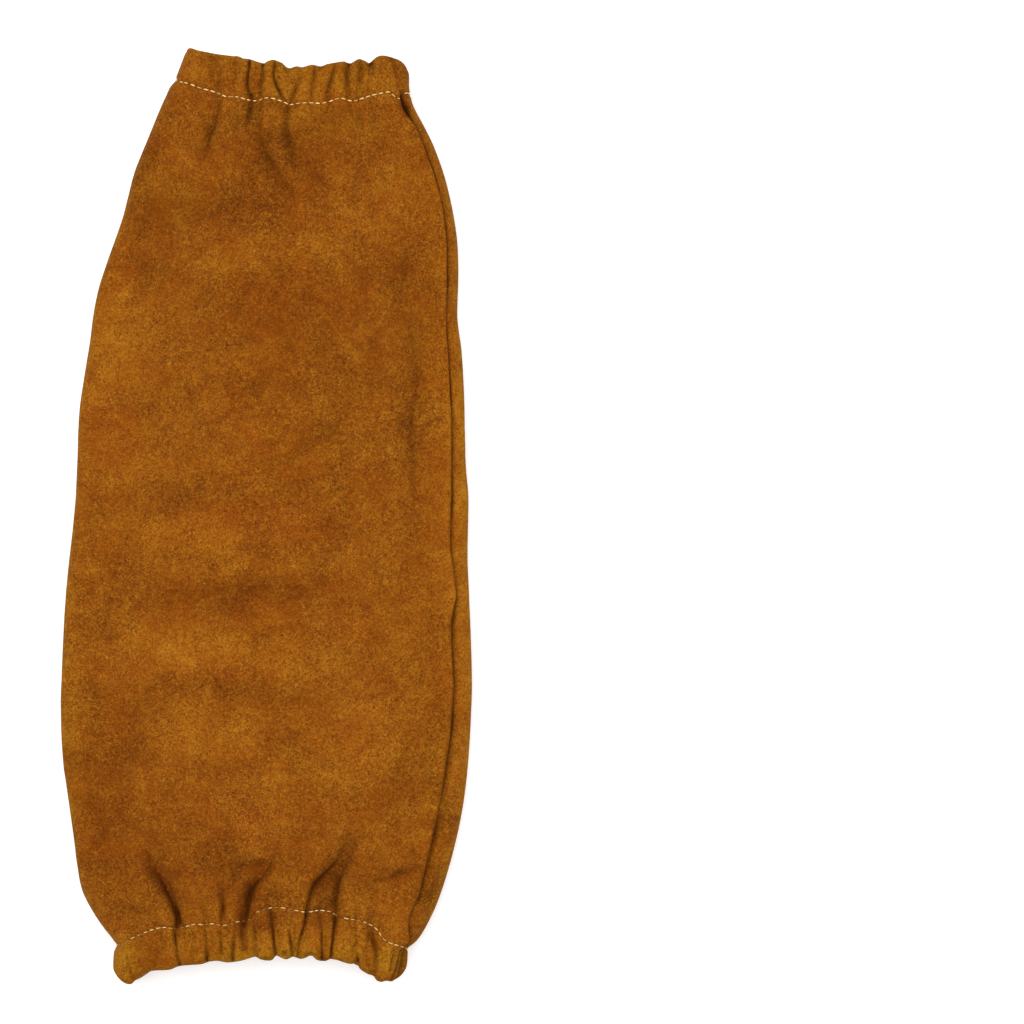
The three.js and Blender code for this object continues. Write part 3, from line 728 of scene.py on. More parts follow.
# Hue of the dye, golden above 0 and redder below: middle x, y, half length, half width, amount, turn
hueClouds = [
    (14, 219, 78, 20, 0.9, -3), (22, 192, 56, 16, 0.7, 0), (-46, 153, 28, 17, 1.1, 0),
    (-62, 167, 20, 16, 0.7, 60), (0, -218, 88, 18, 1, 0), (-98, -126, 62, 11, 1.1, 88),
    (-98, -20, 62, 9, 0.5, 90), (76, 88, 20, 15, 0.9, 0), (6, 86, 28, 15, 0.7, 0),
    (84, -146, 72, 12, 0.6, 97), (2, -4, 64, 19, -0.8, 0), (-76, 45, 20, 32, -0.6, 0),
    (38, -54, 26, 13, -0.7, 0), (-38, -75, 62, 17, -0.6, 0), (-6, -150, 20, 19, -1.1, 0),
    (46, -106, 27, 36, -0.7, 0), (50, 146, 32, 20, -0.45, 0), (67, 5, 15, 11, -0.7, 0),
    (-71, -218, 18, 13, 1.7, 70), (59, -219, 14, 10, 1.1, 60), (-5.3, 213, 10, 4, -0.9, 87),
    (79, -187, 22, 7, 0.6, 70), (-1.6, -202, 9, 5, -0.8, 75),
]


def softOvals(table, x, y):
    total = np.zeros_like(x)
    middles = asLaid([row[:2] for row in table], "Fold")
    for (middleX, middleY), (_, _, length, width, amount, turn) in zip(middles, table):
        c, s = math.cos(math.radians(turn)), math.sin(math.radians(turn))
        along = ((x - middleX) * c + (y - middleY) * s) / length
        aside = ((y - middleY) * c - (x - middleX) * s) / width
        total += amount * np.maximum(0, 1 - along**2 - aside**2) ** 2
    return total


# Handle of the hide: slow random waves, wave length and height in mm
handleForm = {
    "waves": [(52, 0.34), (31, 0.28), (19, 0.18), (12, 0.12), (7.5, 0.07)],
    "each": 9,
    "vary": (0.8, 1.25),
}
waveSet = [
    (2 * math.pi / (size * random.uniform(*handleForm["vary"])), random.uniform(0, 2 * math.pi),
     random.uniform(0, 2 * math.pi), height / math.sqrt(handleForm["each"] / 2))
    for size, height in handleForm["waves"]
    for _ in range(handleForm["each"])
]


def handleDepth(x, y):
    total = np.zeros_like(x)
    for rate, heading, phase, height in waveSet:
        total += height * np.sin(rate * (x * math.cos(heading) + y * math.sin(heading)) + phase)
    return total


# The long seam, in mm: a crevice between the front's raised lip and the lower strip beside it
seamForm = {
    "crevice": 2.6,
    "creviceFront": 0.5,
    "creviceStrip": 1.1,
    "creviceSharp": 1.3,
    "even": 0.84,
    "uneven": [(0.16, 9.1, 1), (0.12, 4.3, 0), (0.08, 21, 0)],  # height, run of a wave and its start
    "lip": 0.7,
    "lipAt": 2.4,
    "lipWidth": 1.6,
    "stripDrop": 1.0,
    "stripFrom": 1,
    "stripWidth": 6,
    # where the strip's painted shade sets in, then the painted shade in the crevice and on the strip
    "stripShadeRamp": 0.6,
    "shadeFront": 0.45,
    "shadeStrip": 1.8,
    "shadeSharp": 1.5,
    "shade": 0.84,
}


def seamRelief(points, seamLine, lean=0):
    # the front's edge stands over the lower strip, with an uneven crevice between them and painted shade in
    # it
    form = seamForm
    step = np.linalg.norm(np.diff(points, axis=1), axis=2)
    ring = np.concatenate([np.zeros((len(points), 1)), np.cumsum(step, axis=1)], axis=1)
    aside = ring - ring[:, seamLine : seamLine + 1] + lean
    y = points[:, seamLine : seamLine + 1, 1]
    uneven = np.full_like(y, form["even"])
    for height, run, begin in form["uneven"]:
        uneven = uneven + height * np.sin(y / run + begin)
    onStrip = aside > 0
    away = np.abs(aside)
    fades = {}
    for kind in ("crevice", "shade"):
        width = np.where(onStrip, form[kind + "Strip"], form[kind + "Front"])
        fades[kind] = np.exp(-((away / width) ** form[kind + "Sharp"]))
    lip = form["lip"] * np.exp(-(((aside + form["lipAt"]) / form["lipWidth"]) ** 2))
    lower = smoothStep(0, form["stripFrom"], aside)
    strip = form["stripDrop"] * lower * np.exp(-((aside / form["stripWidth"]) ** 2))
    depth = uneven * form["crevice"] * fades["crevice"] - lip + strip
    return depth, uneven * form["shade"] * fades["shade"], smoothStep(0, form["stripShadeRamp"], aside)


def addMesh(name, points, faces, material, layers):
    # smooth mesh from points in mm, with its layers of values for the material
    mesh = bpy.data.meshes.new(name)
    mesh.from_pydata((points * mm).tolist(), [], faces)
    mesh.polygons.foreach_set("use_smooth", np.ones(len(faces), bool))
    for layerName, values in layers.items():
        layer = mesh.attributes.new(layerName, "FLOAT", "POINT")
        layer.data.foreach_set("value", np.array(values, np.float32).reshape(-1))
    mesh.materials.append(material)
    mesh.update()
    piece = bpy.data.objects.new(name, mesh)
    bpy.context.scene.collection.objects.link(piece)
    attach(piece, "root")
    return piece


def addPiece(name, rings, material, shade=None, outward=None, rim=0):
    # closed wall through rings of points in mm, the last joined to the first
    points = np.array(rings)
    rowCount, lineCount = points.shape[:2]
    index = np.arange(rowCount * lineCount).reshape(rowCount, lineCount)
    nextRow, nextLine = np.roll(index, -1, axis=0), np.roll(index, -1, axis=1)
    corner = np.roll(nextRow, -1, axis=1)
    quads = np.stack([index, nextLine, corner, nextRow], axis=-1).reshape(-1, 4)
    flat = points.reshape(-1, 3)
    a, b, c = flat[quads[:, 0]], flat[quads[:, 1]], flat[quads[:, 2]]
    if (a * np.cross(b, c)).sum() + (a * np.cross(c, flat[quads[:, 3]])).sum() < 0:
        quads = quads[:, ::-1]
    layers = {}
    if shade is not None:
        x, y, up = points[..., 0], points[..., 1], outward[..., 2]
        upper = smoothStep(*suedeLook["upper"], up)
        steep, under = suedeLook["turned"]
        turned = (1 - smoothStep(*steep, up)) * smoothStep(*under, up)
        paintedRimLight = np.maximum(turned, rim)  # painted light: turned edges made lighter and more golden
        dyeToneAndPaintedLight = upper * softOvals(dyeAndPaintedLightClouds, x, y) + suedeLook["rimLightTone"] * paintedRimLight
        hue = upper * softOvals(hueClouds, x, y) + suedeLook["rimLightHue"] * paintedRimLight
        # layers for the material: painted shade of creases, the dye's tone with painted light and shade,
        # and its hue with painted rim light
        layers = {"crease": shade, "dyeToneAndPaintedLight": dyeToneAndPaintedLight, "hue": hue}
    return addMesh(name, flat, quads.tolist(), material, layers)


def linear(hexText):
    # sRGB hex to the linear colour that shaders take
    parts = [int(hexText[i : i + 2], 16) / 255 for i in (1, 3, 5)]
    return (*[p / 12.92 if p <= 0.04045 else ((p + 0.055) / 1.055) ** 2.4 for p in parts], 1)


def addNode(tree, kind, inputs=None, **settings):
    node = tree.nodes.new(kind)
    for name, value in settings.items():
        setattr(node, name, value)
    for name, value in (inputs or {}).items():
        if isinstance(value, bpy.types.NodeSocket):
            tree.links.new(value, node.inputs[name])
        else:
            node.inputs[name].default_value = value
    return node


def newMaterial(name):
    material = bpy.data.materials.new(name)
    material.use_nodes = True
    material.node_tree.nodes.clear()
    return material, material.node_tree


# Split cowhide, dyed and brushed: a matt nap with cloudy golden and red-brown patches,
# and painted shade that darkens its creases
suedeLook = {
    "tones": [(0.2, "#502604"), (0.4, "#733d0a"), (0.5, "#854a0e"), (0.6, "#955911"), (0.8, "#ad731c")],
    "middle": 0.48,
    "red": "#803805",
    # colour that the painted shade of creases, folds and seams mixes towards
    "crease": "#2c0800",
    # size in mm, share of the tone, detail, roughness, swirl
    "cloud": (46, 0.24, 4, 0.55, 0.4),
    "patch": (13, 0.4, 4, 0.6, 0.6),
    "nap": (2.4, 0.55, 3, 0.7, 1.0),
    "fibre": (0.8, 1.25, 2, 0.7, 1.2),
    "redPatch": (26, 5, 0.7, 0.8),  # size in mm, detail, roughness, swirl
    "redFrom": (0.42, 0.7),
    "redMost": 0.5,
    "hueTurn": 0.0058,
    "creaseMost": 0.85,
    "napStrength": 0.8,
    "napHeight": 0.6,  # in mm
    "roughness": 0.92,
    "ior": 1.5,
    "specular": 0.04,
    "sheen": (0.07, 0.5, "#e8ac38"),  # weight, roughness, tint
    # bounds of a face's upward share: where clouds show, and where an edge turns under and gets painted rim
    # light
    "upper": (-0.2, 0.5),
    "turned": ((0.3, 0.85), (-0.8, -0.2)),
    "rimLightTone": 0.05,
    "rimLightHue": 0.9,
}


def makeSuede():
    look = suedeLook
    material, tree = newMaterial("split_cowhide_suede")
    place = addNode(tree, "ShaderNodeTexCoord").outputs["Object"]
    # the dye layer carries painted light and shade along with the dye
    dyeToneAndPaintedLight = addNode(tree, "ShaderNodeAttribute", attribute_name="dyeToneAndPaintedLight")
    tone = addNode(tree, "ShaderNodeMath", {
        0: dyeToneAndPaintedLight.outputs["Fac"], 1: look["middle"]}, operation="ADD").outputs[0]
    noise = {}
    for name in ("cloud", "patch", "nap", "fibre"):
        size, share, detail, rough, swirl = look[name]
        noise[name] = addNode(tree, "ShaderNodeTexNoise", {
            "Vector": place, "Scale": 1 / (size * mm), "Detail": detail, "Roughness": rough,
            "Distortion": swirl}).outputs["Fac"]
        lifted = addNode(tree, "ShaderNodeMath", {0: noise[name], 1: -0.5}, operation="ADD")
        tone = addNode(tree, "ShaderNodeMath", {
            0: lifted.outputs[0], 1: share, 2: tone}, operation="MULTIPLY_ADD").outputs[0]
    ramp = addNode(tree, "ShaderNodeValToRGB", {"Fac": tone})
    stops = ramp.color_ramp.elements
    while len(stops) < len(look["tones"]):
        stops.new(0.5)
    for stop, (at, colour) in zip(stops, look["tones"]):
        stop.position, stop.color = at, linear(colour)
    size, detail, rough, swirl = look["redPatch"]
    redness = addNode(tree, "ShaderNodeTexNoise", {
        "Vector": place, "Scale": 1 / (size * mm), "Detail": detail, "Roughness": rough,
        "Distortion": swirl})
    least, most = look["redFrom"]
    redder = addNode(tree, "ShaderNodeMapRange", {
        "Value": redness.outputs["Fac"], "From Min": least, "From Max": most, "To Max": look["redMost"]})
    # sockets 6 and 7 of a colour mix are its two colours
    hide = addNode(tree, "ShaderNodeMix", {
        0: redder.outputs[0], 6: ramp.outputs[0], 7: linear(look["red"])}, data_type="RGBA")
    turn = addNode(tree, "ShaderNodeAttribute", attribute_name="hue")
    golden = addNode(tree, "ShaderNodeMath", {
        0: turn.outputs["Fac"], 1: look["hueTurn"], 2: 0.5}, operation="MULTIPLY_ADD")
    tinted = addNode(tree, "ShaderNodeHueSaturation", {"Hue": golden.outputs[0], "Color": hide.outputs[2]})
    # painted shade: the crease layer mixes the colour towards the dark brown
    depth = addNode(tree, "ShaderNodeAttribute", attribute_name="crease")
    shade = addNode(tree, "ShaderNodeMapRange", {
        "Value": depth.outputs["Fac"], "From Min": 0.0, "From Max": 1.0, "To Max": look["creaseMost"]})
    colour = addNode(tree, "ShaderNodeMix", {
        0: shade.outputs[0], 6: tinted.outputs[0], 7: linear(look["crease"])}, data_type="RGBA")
    grain = addNode(tree, "ShaderNodeMath", {0: noise["nap"], 1: noise["fibre"]}, operation="ADD")
    bump = addNode(tree, "ShaderNodeBump", {
        "Strength": look["napStrength"], "Distance": look["napHeight"] * mm, "Height": grain.outputs[0]})
    weight, rough, tint = look["sheen"]
    shader = addNode(tree, "ShaderNodeBsdfPrincipled", {
        "Base Color": colour.outputs[2], "Normal": bump.outputs[0], "Roughness": look["roughness"],
        "IOR": look["ior"], "Specular IOR Level": look["specular"], "Sheen Weight": weight,
        "Sheen Roughness": rough, "Sheen Tint": linear(tint)})
    addNode(tree, "ShaderNodeOutputMaterial", {"Surface": shader.outputs[0]})
    return material


# Spun polyester sewing thread, cream: soft gloss, duller where it is worn or drawn into the nap,
# with painted shade where it crosses a crease
threadLook = {
    "clean": "#ffdc8c",
    "dull": "#8c5c1c",
    "fuzz": (1.2, 4, 0.6),  # size in mm, detail, roughness
    "wornFrom": (0.4, 0.7),
    "wornMost": 0.4,
    "roughness": 0.6,
    "ior": 1.5,
    "sheen": (0.25, "#ffd890"),
}


def makeThread():
    look = threadLook
    material, tree = newMaterial("spun_polyester_thread")
    place = addNode(tree, "ShaderNodeTexCoord").outputs["Object"]
    size, detail, rough = look["fuzz"]
    fuzz = addNode(tree, "ShaderNodeTexNoise", {
        "Vector": place, "Scale": 1 / (size * mm), "Detail": detail, "Roughness": rough})
    sunk = addNode(tree, "ShaderNodeAttribute", attribute_name="sunk")
    least, most = look["wornFrom"]
    worn = addNode(tree, "ShaderNodeMapRange", {
        "Value": fuzz.outputs["Fac"], "From Min": least, "From Max": most, "To Max": look["wornMost"]})
    # the sunk layer dulls drawn-in stitches and adds painted shade where they cross creases
    dull = addNode(tree, "ShaderNodeMath", {
        0: sunk.outputs["Fac"], 1: worn.outputs[0]}, operation="ADD", use_clamp=True)
    colour = addNode(tree, "ShaderNodeMix", {
        0: dull.outputs[0], 6: linear(look["clean"]), 7: linear(look["dull"])}, data_type="RGBA")
    weight, tint = look["sheen"]
    shader = addNode(tree, "ShaderNodeBsdfPrincipled", {
        "Base Color": colour.outputs[2], "Roughness": look["roughness"], "IOR": look["ior"],
        "Sheen Weight": weight, "Sheen Tint": linear(tint)})
    addNode(tree, "ShaderNodeOutputMaterial", {"Surface": shader.outputs[0]})
    return material


# Woven elastic webbing, off-white: matt, with ribs along the band and painted shade in the grooves between
# them
webbingLook = {
    "groove": "#cfc7b4",
    "rib": "#ece6d8",
    "ribRadian": 1.2,  # mm of the weave to a radian of the wave, which has 20 of them to a unit
    "waveRadians": 20,
    "wobble": 0.2,
    "ribStrength": 0.4,
    "ribHeight": 0.3,
    "roughness": 0.85,
    "ior": 1.5,
}


def makeWebbing():
    look = webbingLook
    material, tree = newMaterial("woven_elastic_webbing")
    place = addNode(tree, "ShaderNodeTexCoord").outputs["Object"]
    rib = addNode(tree, "ShaderNodeTexWave", {
        "Vector": place, "Scale": 1 / (look["waveRadians"] * look["ribRadian"] * mm),
        "Distortion": look["wobble"]}, bands_direction="Y")
    # painted shade: the grooves between the ribs are darker
    colour = addNode(tree, "ShaderNodeMix", {
        0: rib.outputs["Fac"], 6: linear(look["groove"]), 7: linear(look["rib"])}, data_type="RGBA")
    bump = addNode(tree, "ShaderNodeBump", {
        "Strength": look["ribStrength"], "Distance": look["ribHeight"] * mm, "Height": rib.outputs["Fac"]})
    shader = addNode(tree, "ShaderNodeBsdfPrincipled", {
        "Base Color": colour.outputs[2], "Normal": bump.outputs[0], "Roughness": look["roughness"],
        "IOR": look["ior"]})
    addNode(tree, "ShaderNodeOutputMaterial", {"Surface": shader.outputs[0]})
    return material


suede, thread, webbing = makeSuede(), makeThread(), makeWebbing()
print("materials made")

for hem in (wristHem, upperArmHem):
    fitHem(hem)
    hem["dipRows"] = dipRows(hem)
    hem["seamY"] = seamLevel(hem)

# What shapes a face goes by its upward share: bounds over which each thing sets in
faceForm = {
    "upper": (0.05, 0.6),
    "under": (0.6, 0.95),
    "underHandle": 0.6,
    "lowSide": ((-0.6, -0.2), (0, 0.45)),
    # painted shade on the sides as they turn down
    "lowShade": 0.06,
    "hemReach": 60,  # mm from the stitches where gathers are looked for
}


def relief(points, outward, place, y):
    # inward depth of everything that shapes the outer face, in mm, and the painted shade of its creases
    x, outZ = points[..., 0], outward[..., 2]
    upper = smoothStep(*faceForm["upper"], outZ)
    foldDepth, foldShade = foldRelief(x, y)
    handle = handleDepth(x, y)
    depth = upper * (foldDepth + softOvals(softHollows, x, y) + handle)
    under = smoothStep(*faceForm["under"], -outZ)
    depth = depth + faceForm["underHandle"] * under * np.maximum(handle, 0)
    lowStart, lowEnd = faceForm["lowSide"]
    lowSide = smoothStep(*lowStart, outZ) * (1 - smoothStep(*lowEnd, outZ))
    # painted shade: in the folds, on the sides as they turn down, and in the small folds of the turned
    # edges
    shade = upper * foldShade + faceForm["lowShade"] * lowSide + softOvals(paintedRimShade, x, y) * (outZ > 0)
    limit = np.full_like(x, np.inf)
    for hem in (wristHem, upperArmHem):
        distance = hem["outward"] * (y - hemLine(hem, place, "Stitch"))
        near = np.abs(distance) < faceForm["hemReach"]
        gathered, gatherShade = gather(hem, place[near], distance[near])
        depth[near] += gathered
        shade[near] += gatherShade
        shade = shade * (1 - hemForm["sewnFlat"] * np.exp(-((distance / hemForm["sewnReach"]) ** 2)))
        groove = np.exp(-((distance / hemForm["stitchGrooveWidth"]) ** 2))
        depth = depth + hemForm["stitchGroove"] * groove
        shade = shade + hemForm["grooveShade"] * groove
        deepest = hemForm["deepest"] + hemForm["deepestRise"] * np.maximum(-distance, 0)
        limit = np.minimum(limit, deepest)
    spare = hemForm["deepestSpare"]
    over = np.maximum(depth - limit, 0)
    return np.minimum(depth, limit) + spare * (1 - np.exp(-over / spare)), shade


def closeAtEnds(share):
    # rows lie closer together towards the hems
    fromEnd = np.minimum(share, 1 - share)
    return 1 + sleeve["endCrowding"] * (1 - smoothStep(*sleeve["endsCrowded"], fromEnd))


def makeBody():
    shares = spread(sleeve["bodyRows"], closeAtEnds)
    shares = shares / shares[-1]
    seamY = wristHem["seamY"] + (upperArmHem["seamY"] - wristHem["seamY"]) * shares
    place = np.array([ringPlaces(y, sleeve["bodyLines"]) for y in seamY])
    start = hemLine(wristHem, place, "Stitch")
    stop = hemLine(upperArmHem, place, "Stitch")
    y = start + (stop - start) * shares[:, None]
    points, outward = tube(place, y)
    depth, shade = relief(points, outward, place, y)
    seam, seamShade, _ = seamRelief(points, sleeve["bodyLines"][0])
    depth = depth + seam
    insideShares = spread(sleeve["insideRows"], closeAtEnds)
    inside = np.unique(np.round((len(shares) - 1) * insideShares / insideShares[-1]).astype(int))
    # the sparse inner wall keeps below every fold between its rows
    first, last = np.append(0, inside[:-1]), np.append(inside[1:], inside[-1])
    deepest = np.array([depth[a : b + 1].max(axis=0) for a, b in zip(first, last)])
    inner = points[inside] - (deepest + sleeve["leather"])[..., None] * outward[inside]
    points = points - depth[..., None] * outward
    rings = np.concatenate([points, inner[::-1]])
    rings[..., 2] = np.maximum(rings[..., 2], 0)
    shades = np.concatenate([shade + seamShade, np.zeros(inner.shape[:2])])
    facing = np.concatenate([outward, -outward[inside][::-1]])
    return addPiece("leather_body", rings, suede, shades, facing)


body = makeBody()
print("body:", len(body.data.polygons), "faces")
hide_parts("sleeve_body")


def makeHem(hem, name):
    form = hemForm
    leather = sleeve["leather"]
    radius = form["thickness"] / 2
    pinched = leather + form["plyGap"]
    place = ringPlaces(hem["seamY"] + hem["outward"] * form["seamAt"], sleeve["hemLines"])
    stitch = hemLine(hem, place, "Stitch")
    reach = hem["outward"] * (hemLine(hem, place, "Edge") - stitch)
    fold = reach - radius
    start = form["channelStart"]
    # the edge is round, and square where the folded side comes to a corner
    cornerStart, cornerEnd = form["cornerSpan"]
    corner = (hem["cornerSharp"] - 1) * smoothStep(*cornerStart, place)
    square = 1 + corner * (1 - smoothStep(*cornerEnd, place))
    flat = 0 * reach
    # profile rows: distance out from the stitch line, depth into the hem, share of the outer ply's relief,
    # and how far the row is round the edge
    rows = [(t * fold, flat, 1.0, 0.0) for t in np.linspace(0, 1, form["outerRows"])]

    def turn(angles, size):
        for angle in angles:
            bulge = max(math.sin(angle), 0) ** square
            side = -math.copysign(1, math.cos(angle)) * abs(math.cos(angle)) ** square
            outer = 1 - float(smoothStep(0, 1, angle / math.pi))
            yield fold + size * bulge, radius + size * side, outer, max(math.sin(angle), 0)

    rows += turn(np.linspace(0, math.pi, form["turnRows"])[1:], radius)
    for t in np.linspace(1, 0, form["innerRows"])[1:]:
        rows.append((start + t * (fold - start), form["thickness"] + flat, 0.0, 0.0))
    for t in np.linspace(0, 1, form["pinchRows"])[1:]:
        ease = float(smoothStep(0, 1, t))
        inward = form["thickness"] + ease * (pinched + leather - form["thickness"])
        rows.append((start * (1 - t) + flat, inward + flat, ease, 0.0))
    insideRow = len(rows) - 1
    # the raw edge: out along its one face and back along the other
    for t, ply in ((0.5, leather), (1.0, leather), (1.0, 0), (0.5, 0), (0.0, 0)):
        rows.append((-form["rawEdge"] * t + flat, pinched + ply + form["rawDrop"] * t + flat, 1.0, 0.0))
    rows.append((start + flat, form["thickness"] - leather + flat, 0.0, 0.0))
    rows += turn(np.linspace(math.pi, 0, form["insideTurnRows"]), radius - leather)
    behind = {len(rows) - 1: form["insideTurn"]}
    for t, outerSpan in form["insideOuter"]:
        behind[len(rows)] = outerSpan
        rows.append((t * fold, leather + flat, 1.0, 0.0))
    out, inward, share, edge = (np.array(column) for column in zip(*rows))
    share, edge = share[:, None], edge[:, None]
    sideways = np.sin(math.pi * np.clip(place - 4, 0, 1))
    out = out - hem["cornerLean"] * sideways * inward * smoothStep(*form["edgeFrom"], out / reach)
    places = np.broadcast_to(place, out.shape).copy()
    y = stitch + hem["outward"] * out
    points, outward = tube(places, y)
    outer, shade = relief(points, outward, places, y)
    lean = form["seamLean"] * np.maximum(out, 0)
    seam, seamShade, strip = seamRelief(points, sleeve["hemLines"][0], lean)
    outer = outer + form["seamShare"] * seam
    # the sparse inside of the outer ply keeps below every fold between its rows
    for row, (first, last) in behind.items():
        outer[row] = outer[first:last].max(axis=0)
    # painted shade from the creases, the seam, the strip beside it and the turned edges
    onStrip = strip * (1 - smoothStep(*form["stripEnd"], places))
    shade = (shade + form["seamShare"] * seamShade + hem["stripShade"] * onStrip) * share
    shade = shade + form["edgeShade"] * edge
    puffed = form["innerPuff"] * np.maximum(form["puffMost"] - outer, 0)  # the inner ply bulges inwards
    depth = inward + share * outer + (1 - share) * puffed * (inward > radius)
    looseStart, looseEnd = form["looseSpan"]
    loose = smoothStep(*looseStart, places) * (1 - smoothStep(*looseEnd, places))
    pulled = form["notchShare"] * loose * np.minimum(outer, form["notchMost"])
    notch = pulled * smoothStep(*form["edgeFrom"], out / reach) * share
    points[..., 1] = y - hem["outward"] * notch
    points = points - depth[..., None] * outward
    points[..., 2] = np.maximum(points[..., 2], 0)
    hem["stitchRing"] = points[0], outward[0], shade[0]
    hem["insideRing"] = points[insideRow], -outward[0], flat
    facing = np.where(inward[..., None] < radius, 1, -1) * outward
    return addPiece(name, points, suede, shade, facing, edge)


def makeElastic(hem, name):
    # flat band in the channel between the two plies
    form = hemForm
    place = ringPlaces(hem["seamY"] + hem["outward"] * form["seamAt"], sleeve["bandLines"])
    stitch = hemLine(hem, place, "Stitch")
    fold = hem["outward"] * (hemLine(hem, place, "Edge") - stitch) - form["thickness"] / 2
    low, high = form["channelStart"] + form["bandMargin"], fold - form["bandMargin"]
    rim = (form["bandInner"] - form["bandOuter"]) / 2
    steps = np.linspace(0, 1, form["bandRows"])
    rows = [(low + t * (high - low), form["bandOuter"]) for t in steps]
    rows.append((high + rim / 2, form["bandOuter"] + rim))
    rows += [(low + t * (high - low), form["bandInner"]) for t in steps[::-1]]
    rows.append((low - rim / 2 + 0 * high, form["bandOuter"] + rim))
    out = np.array([row[0] + 0 * high for row in rows])
    inward = np.array([row[1] for row in rows])[:, None]
    points, outward = tube(np.broadcast_to(place, out.shape).copy(), stitch + hem["outward"] * out)
    points = points - inward[..., None] * outward
    return addPiece(name, points, webbing)


for hem in (wristHem, upperArmHem):
    hem["piece"] = makeHem(hem, "leather_" + hem["node"])
    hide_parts(hem["node"])
    hem["band"] = makeElastic(hem, hem["place"] + "_elastic_band")
    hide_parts(hem["place"] + "_elastic")
    print(hem["node"], len(hem["piece"].data.polygons), "faces, its band", len(hem["band"].data.polygons))

# Lockstitch in two-ply thread, sizes in mm
stitchForm = {
    "pitch": 3.35,
    "shift": 0.15,
    "length": 2.6,
    "vary": (0.92, 1.06),
    "radius": 0.28,
    "lift": 0.34,
    "sink": 0.5,
    "archPower": 0.45,
    "drawnDown": 0.6,  # share of the lift that a drawn-in stitch loses
    "buried": 0.5,
    "buriedFrom": (0.3, 0.75),  # shade of the crease it crosses
    "frontFrom": 0.3,  # upward share from which a stitch is one of the front's
    "endThin": 0.55,  # thickness at the ends, what the middle adds, and how soon
    "endSwell": 0.45,
    "endPower": 0.5,
    "twist": 0.16,
    "twistLength": 1.3,
    "sides": 8,
    "steps": 10,
}


def makeStitches(ring, outward, shade, pull, lost, name):
    # each stitch is drawn in a little more or less, and one that crosses a crease sinks into it
    # and is dulled there with painted shade
    form = stitchForm
    sides, steps = form["sides"], form["steps"]
    closed = np.vstack([ring, ring[:1]])
    lengths = np.concatenate([[0], np.cumsum(np.linalg.norm(np.diff(closed, axis=0), axis=1))])
    count = int(lengths[-1] / form["pitch"])
    pitch = lengths[-1] / count
    outClosed = np.vstack([outward, outward[:1]])
    shadeClosed = np.append(shade, shade[0])
    points, faces, sunk = [], [], []
    for i in range(count):
        start = i * pitch + random.uniform(-form["shift"], form["shift"])
        length = form["length"] * random.uniform(*form["vary"])
        t = np.linspace(0, 1, steps + 1)
        at = np.clip(start + length * t, 0, lengths[-1])
        middle = np.interp(start + length / 2, lengths, closed[:, 0])
        line = np.stack([np.interp(at, lengths, closed[:, k]) for k in range(3)], axis=1)
        up = np.stack([np.interp(at, lengths, outClosed[:, k]) for k in range(3)], axis=1)
        up /= np.linalg.norm(up, axis=1, keepdims=True)
        arch = np.sin(math.pi * t) ** form["archPower"]
        hidden = smoothStep(*form["buriedFrom"], np.interp(at, lengths, shadeClosed))
        drawnIn = pull[0] + pull[1] * random.uniform(0, 1) ** 2
        if up[0, 2] > form["frontFrom"] and any(low < middle < high for low, high in lost):
            continue
        lift = form["lift"] * (1 - form["drawnDown"] * drawnIn) - form["buried"] * hidden
        line = line + up * (-form["sink"] + (form["sink"] + lift) * arch)[:, None]
        # painted shade: a stitch over a crease is dulled as well as drawn in
        sunk.append(np.repeat(np.clip(drawnIn + hidden, 0, 1), sides))
        along = np.gradient(line, axis=0)
        along /= np.linalg.norm(along, axis=1, keepdims=True)
        aside = np.cross(along, up)
        aside /= np.linalg.norm(aside, axis=1, keepdims=True)
        over = np.cross(aside, along)
        base = len(points)
        for k in range(steps + 1):
            full = math.sin(math.pi * t[k]) ** form["endPower"]
            radius = form["radius"] * (form["endThin"] + form["endSwell"] * full)
            turned = 2 * math.pi * length * t[k] / form["twistLength"]
            for j in range(sides):
                angle = 2 * math.pi * j / sides
                r = radius * (1 + form["twist"] * math.cos(2 * angle - turned))
                points.append(line[k] + r * (math.cos(angle) * aside[k] + math.sin(angle) * over[k]))
        for k in range(steps):
            for j in range(sides):
                a, b = base + k * sides + j, base + k * sides + (j + 1) % sides
                faces.append((a, b, b + sides, a + sides))
        last = base + steps * sides
        faces.append(tuple(base + j for j in reversed(range(sides))))
        faces.append(tuple(last + j for j in range(sides)))
    points = np.array(points)
    points[:, 2] = np.maximum(points[:, 2], 0)
    return addMesh(name, points, faces, thread, {"sunk": np.concatenate(sunk)})


for hem in (wristHem, upperArmHem):
    rows = [
        makeStitches(*hem["stitchRing"], hem["threadPull"], hem["threadLost"], hem["place"] + "_stitches"),
        makeStitches(*hem["insideRing"], hem["threadPull"], [], hem["place"] + "_stitches_inside"),
    ]

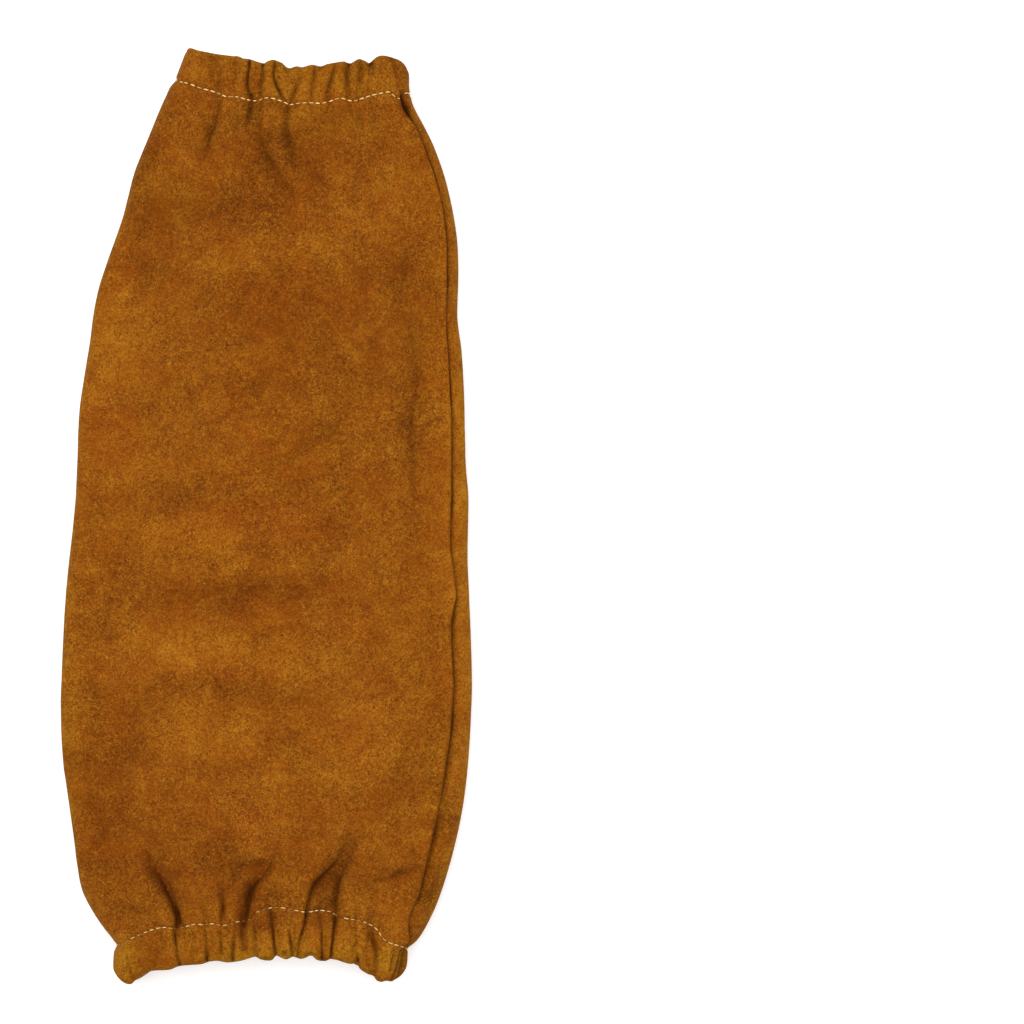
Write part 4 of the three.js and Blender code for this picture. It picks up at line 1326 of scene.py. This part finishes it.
# Plain floor, soft light from above and a camera straight over the sleeve
stage = {
    "floorSize": 6,
    "floorDrop": 0.0002,  # keeps the floor just clear of the leather that lies on it
    "floorColour": "#dddcda",
    "floorGlow": 0.45,
    "floorRoughness": 0.9,
    "floorSpecular": 0.1,
    "skyStrength": 0.55,
    "lightColour": "#ffffff",
    # place in metres, size, watts
    "softboxes": [((-0.35, 0.65, 2.2), 2.2, 52), ((0.5, -0.5, 2.2), 2.4, 12)],
    "sensor": 36,
}

# Matt white paper with a glow of its own: no gloss, and only a faint shadow
floorMesh = bpy.data.meshes.new("floor")
reach = stage["floorSize"] / 2
corners = [(-reach, -reach), (reach, -reach), (reach, reach), (-reach, reach)]
floorMesh.from_pydata([(x, y, -stage["floorDrop"]) for x, y in corners], [], [(0, 1, 2, 3)])
floorMaterial, floorTree = newMaterial("matt_paper_floor")
floorShader = addNode(floorTree, "ShaderNodeBsdfPrincipled", {
    "Base Color": linear(stage["floorColour"]), "Roughness": stage["floorRoughness"],
    "Specular IOR Level": stage["floorSpecular"], "Emission Color": linear(stage["lightColour"]),
    "Emission Strength": stage["floorGlow"]})
addNode(floorTree, "ShaderNodeOutputMaterial", {"Surface": floorShader.outputs[0]})
floorMesh.materials.append(floorMaterial)
floor = bpy.data.objects.new("floor", floorMesh)
bpy.context.scene.collection.objects.link(floor)

world = bpy.data.worlds.new("studio")
bpy.context.scene.world = world
world.use_nodes = True
sky = world.node_tree.nodes["Background"].inputs
sky["Color"].default_value = linear(stage["lightColour"])
sky["Strength"].default_value = stage["skyStrength"]

for place, size, watts in stage["softboxes"]:
    light = bpy.data.lights.new("softbox", "AREA")
    light.shape = "SQUARE"
    light.size = size
    light.energy = watts
    box = bpy.data.objects.new("softbox", light)
    box.location = place
    direction = -np.array(place)
    yaw = math.atan2(direction[1], direction[0])
    tilt = math.acos(-direction[2] / np.linalg.norm(direction))
    box.rotation_euler = (tilt, 0, yaw - math.pi / 2)
    bpy.context.scene.collection.objects.link(box)

camera = bpy.data.cameras.new("camera")
camera.sensor_width = stage["sensor"]
camera.lens = stage["sensor"] * (view["distance"] - view["outlineHeight"]) / view["width"]
eye = bpy.data.objects.new("camera", camera)
eye.location = [size * mm for size in (*view["eye"], view["distance"])]
bpy.context.scene.collection.objects.link(eye)
bpy.context.scene.camera = eye
bpy.context.scene.view_settings.view_transform = "Standard"
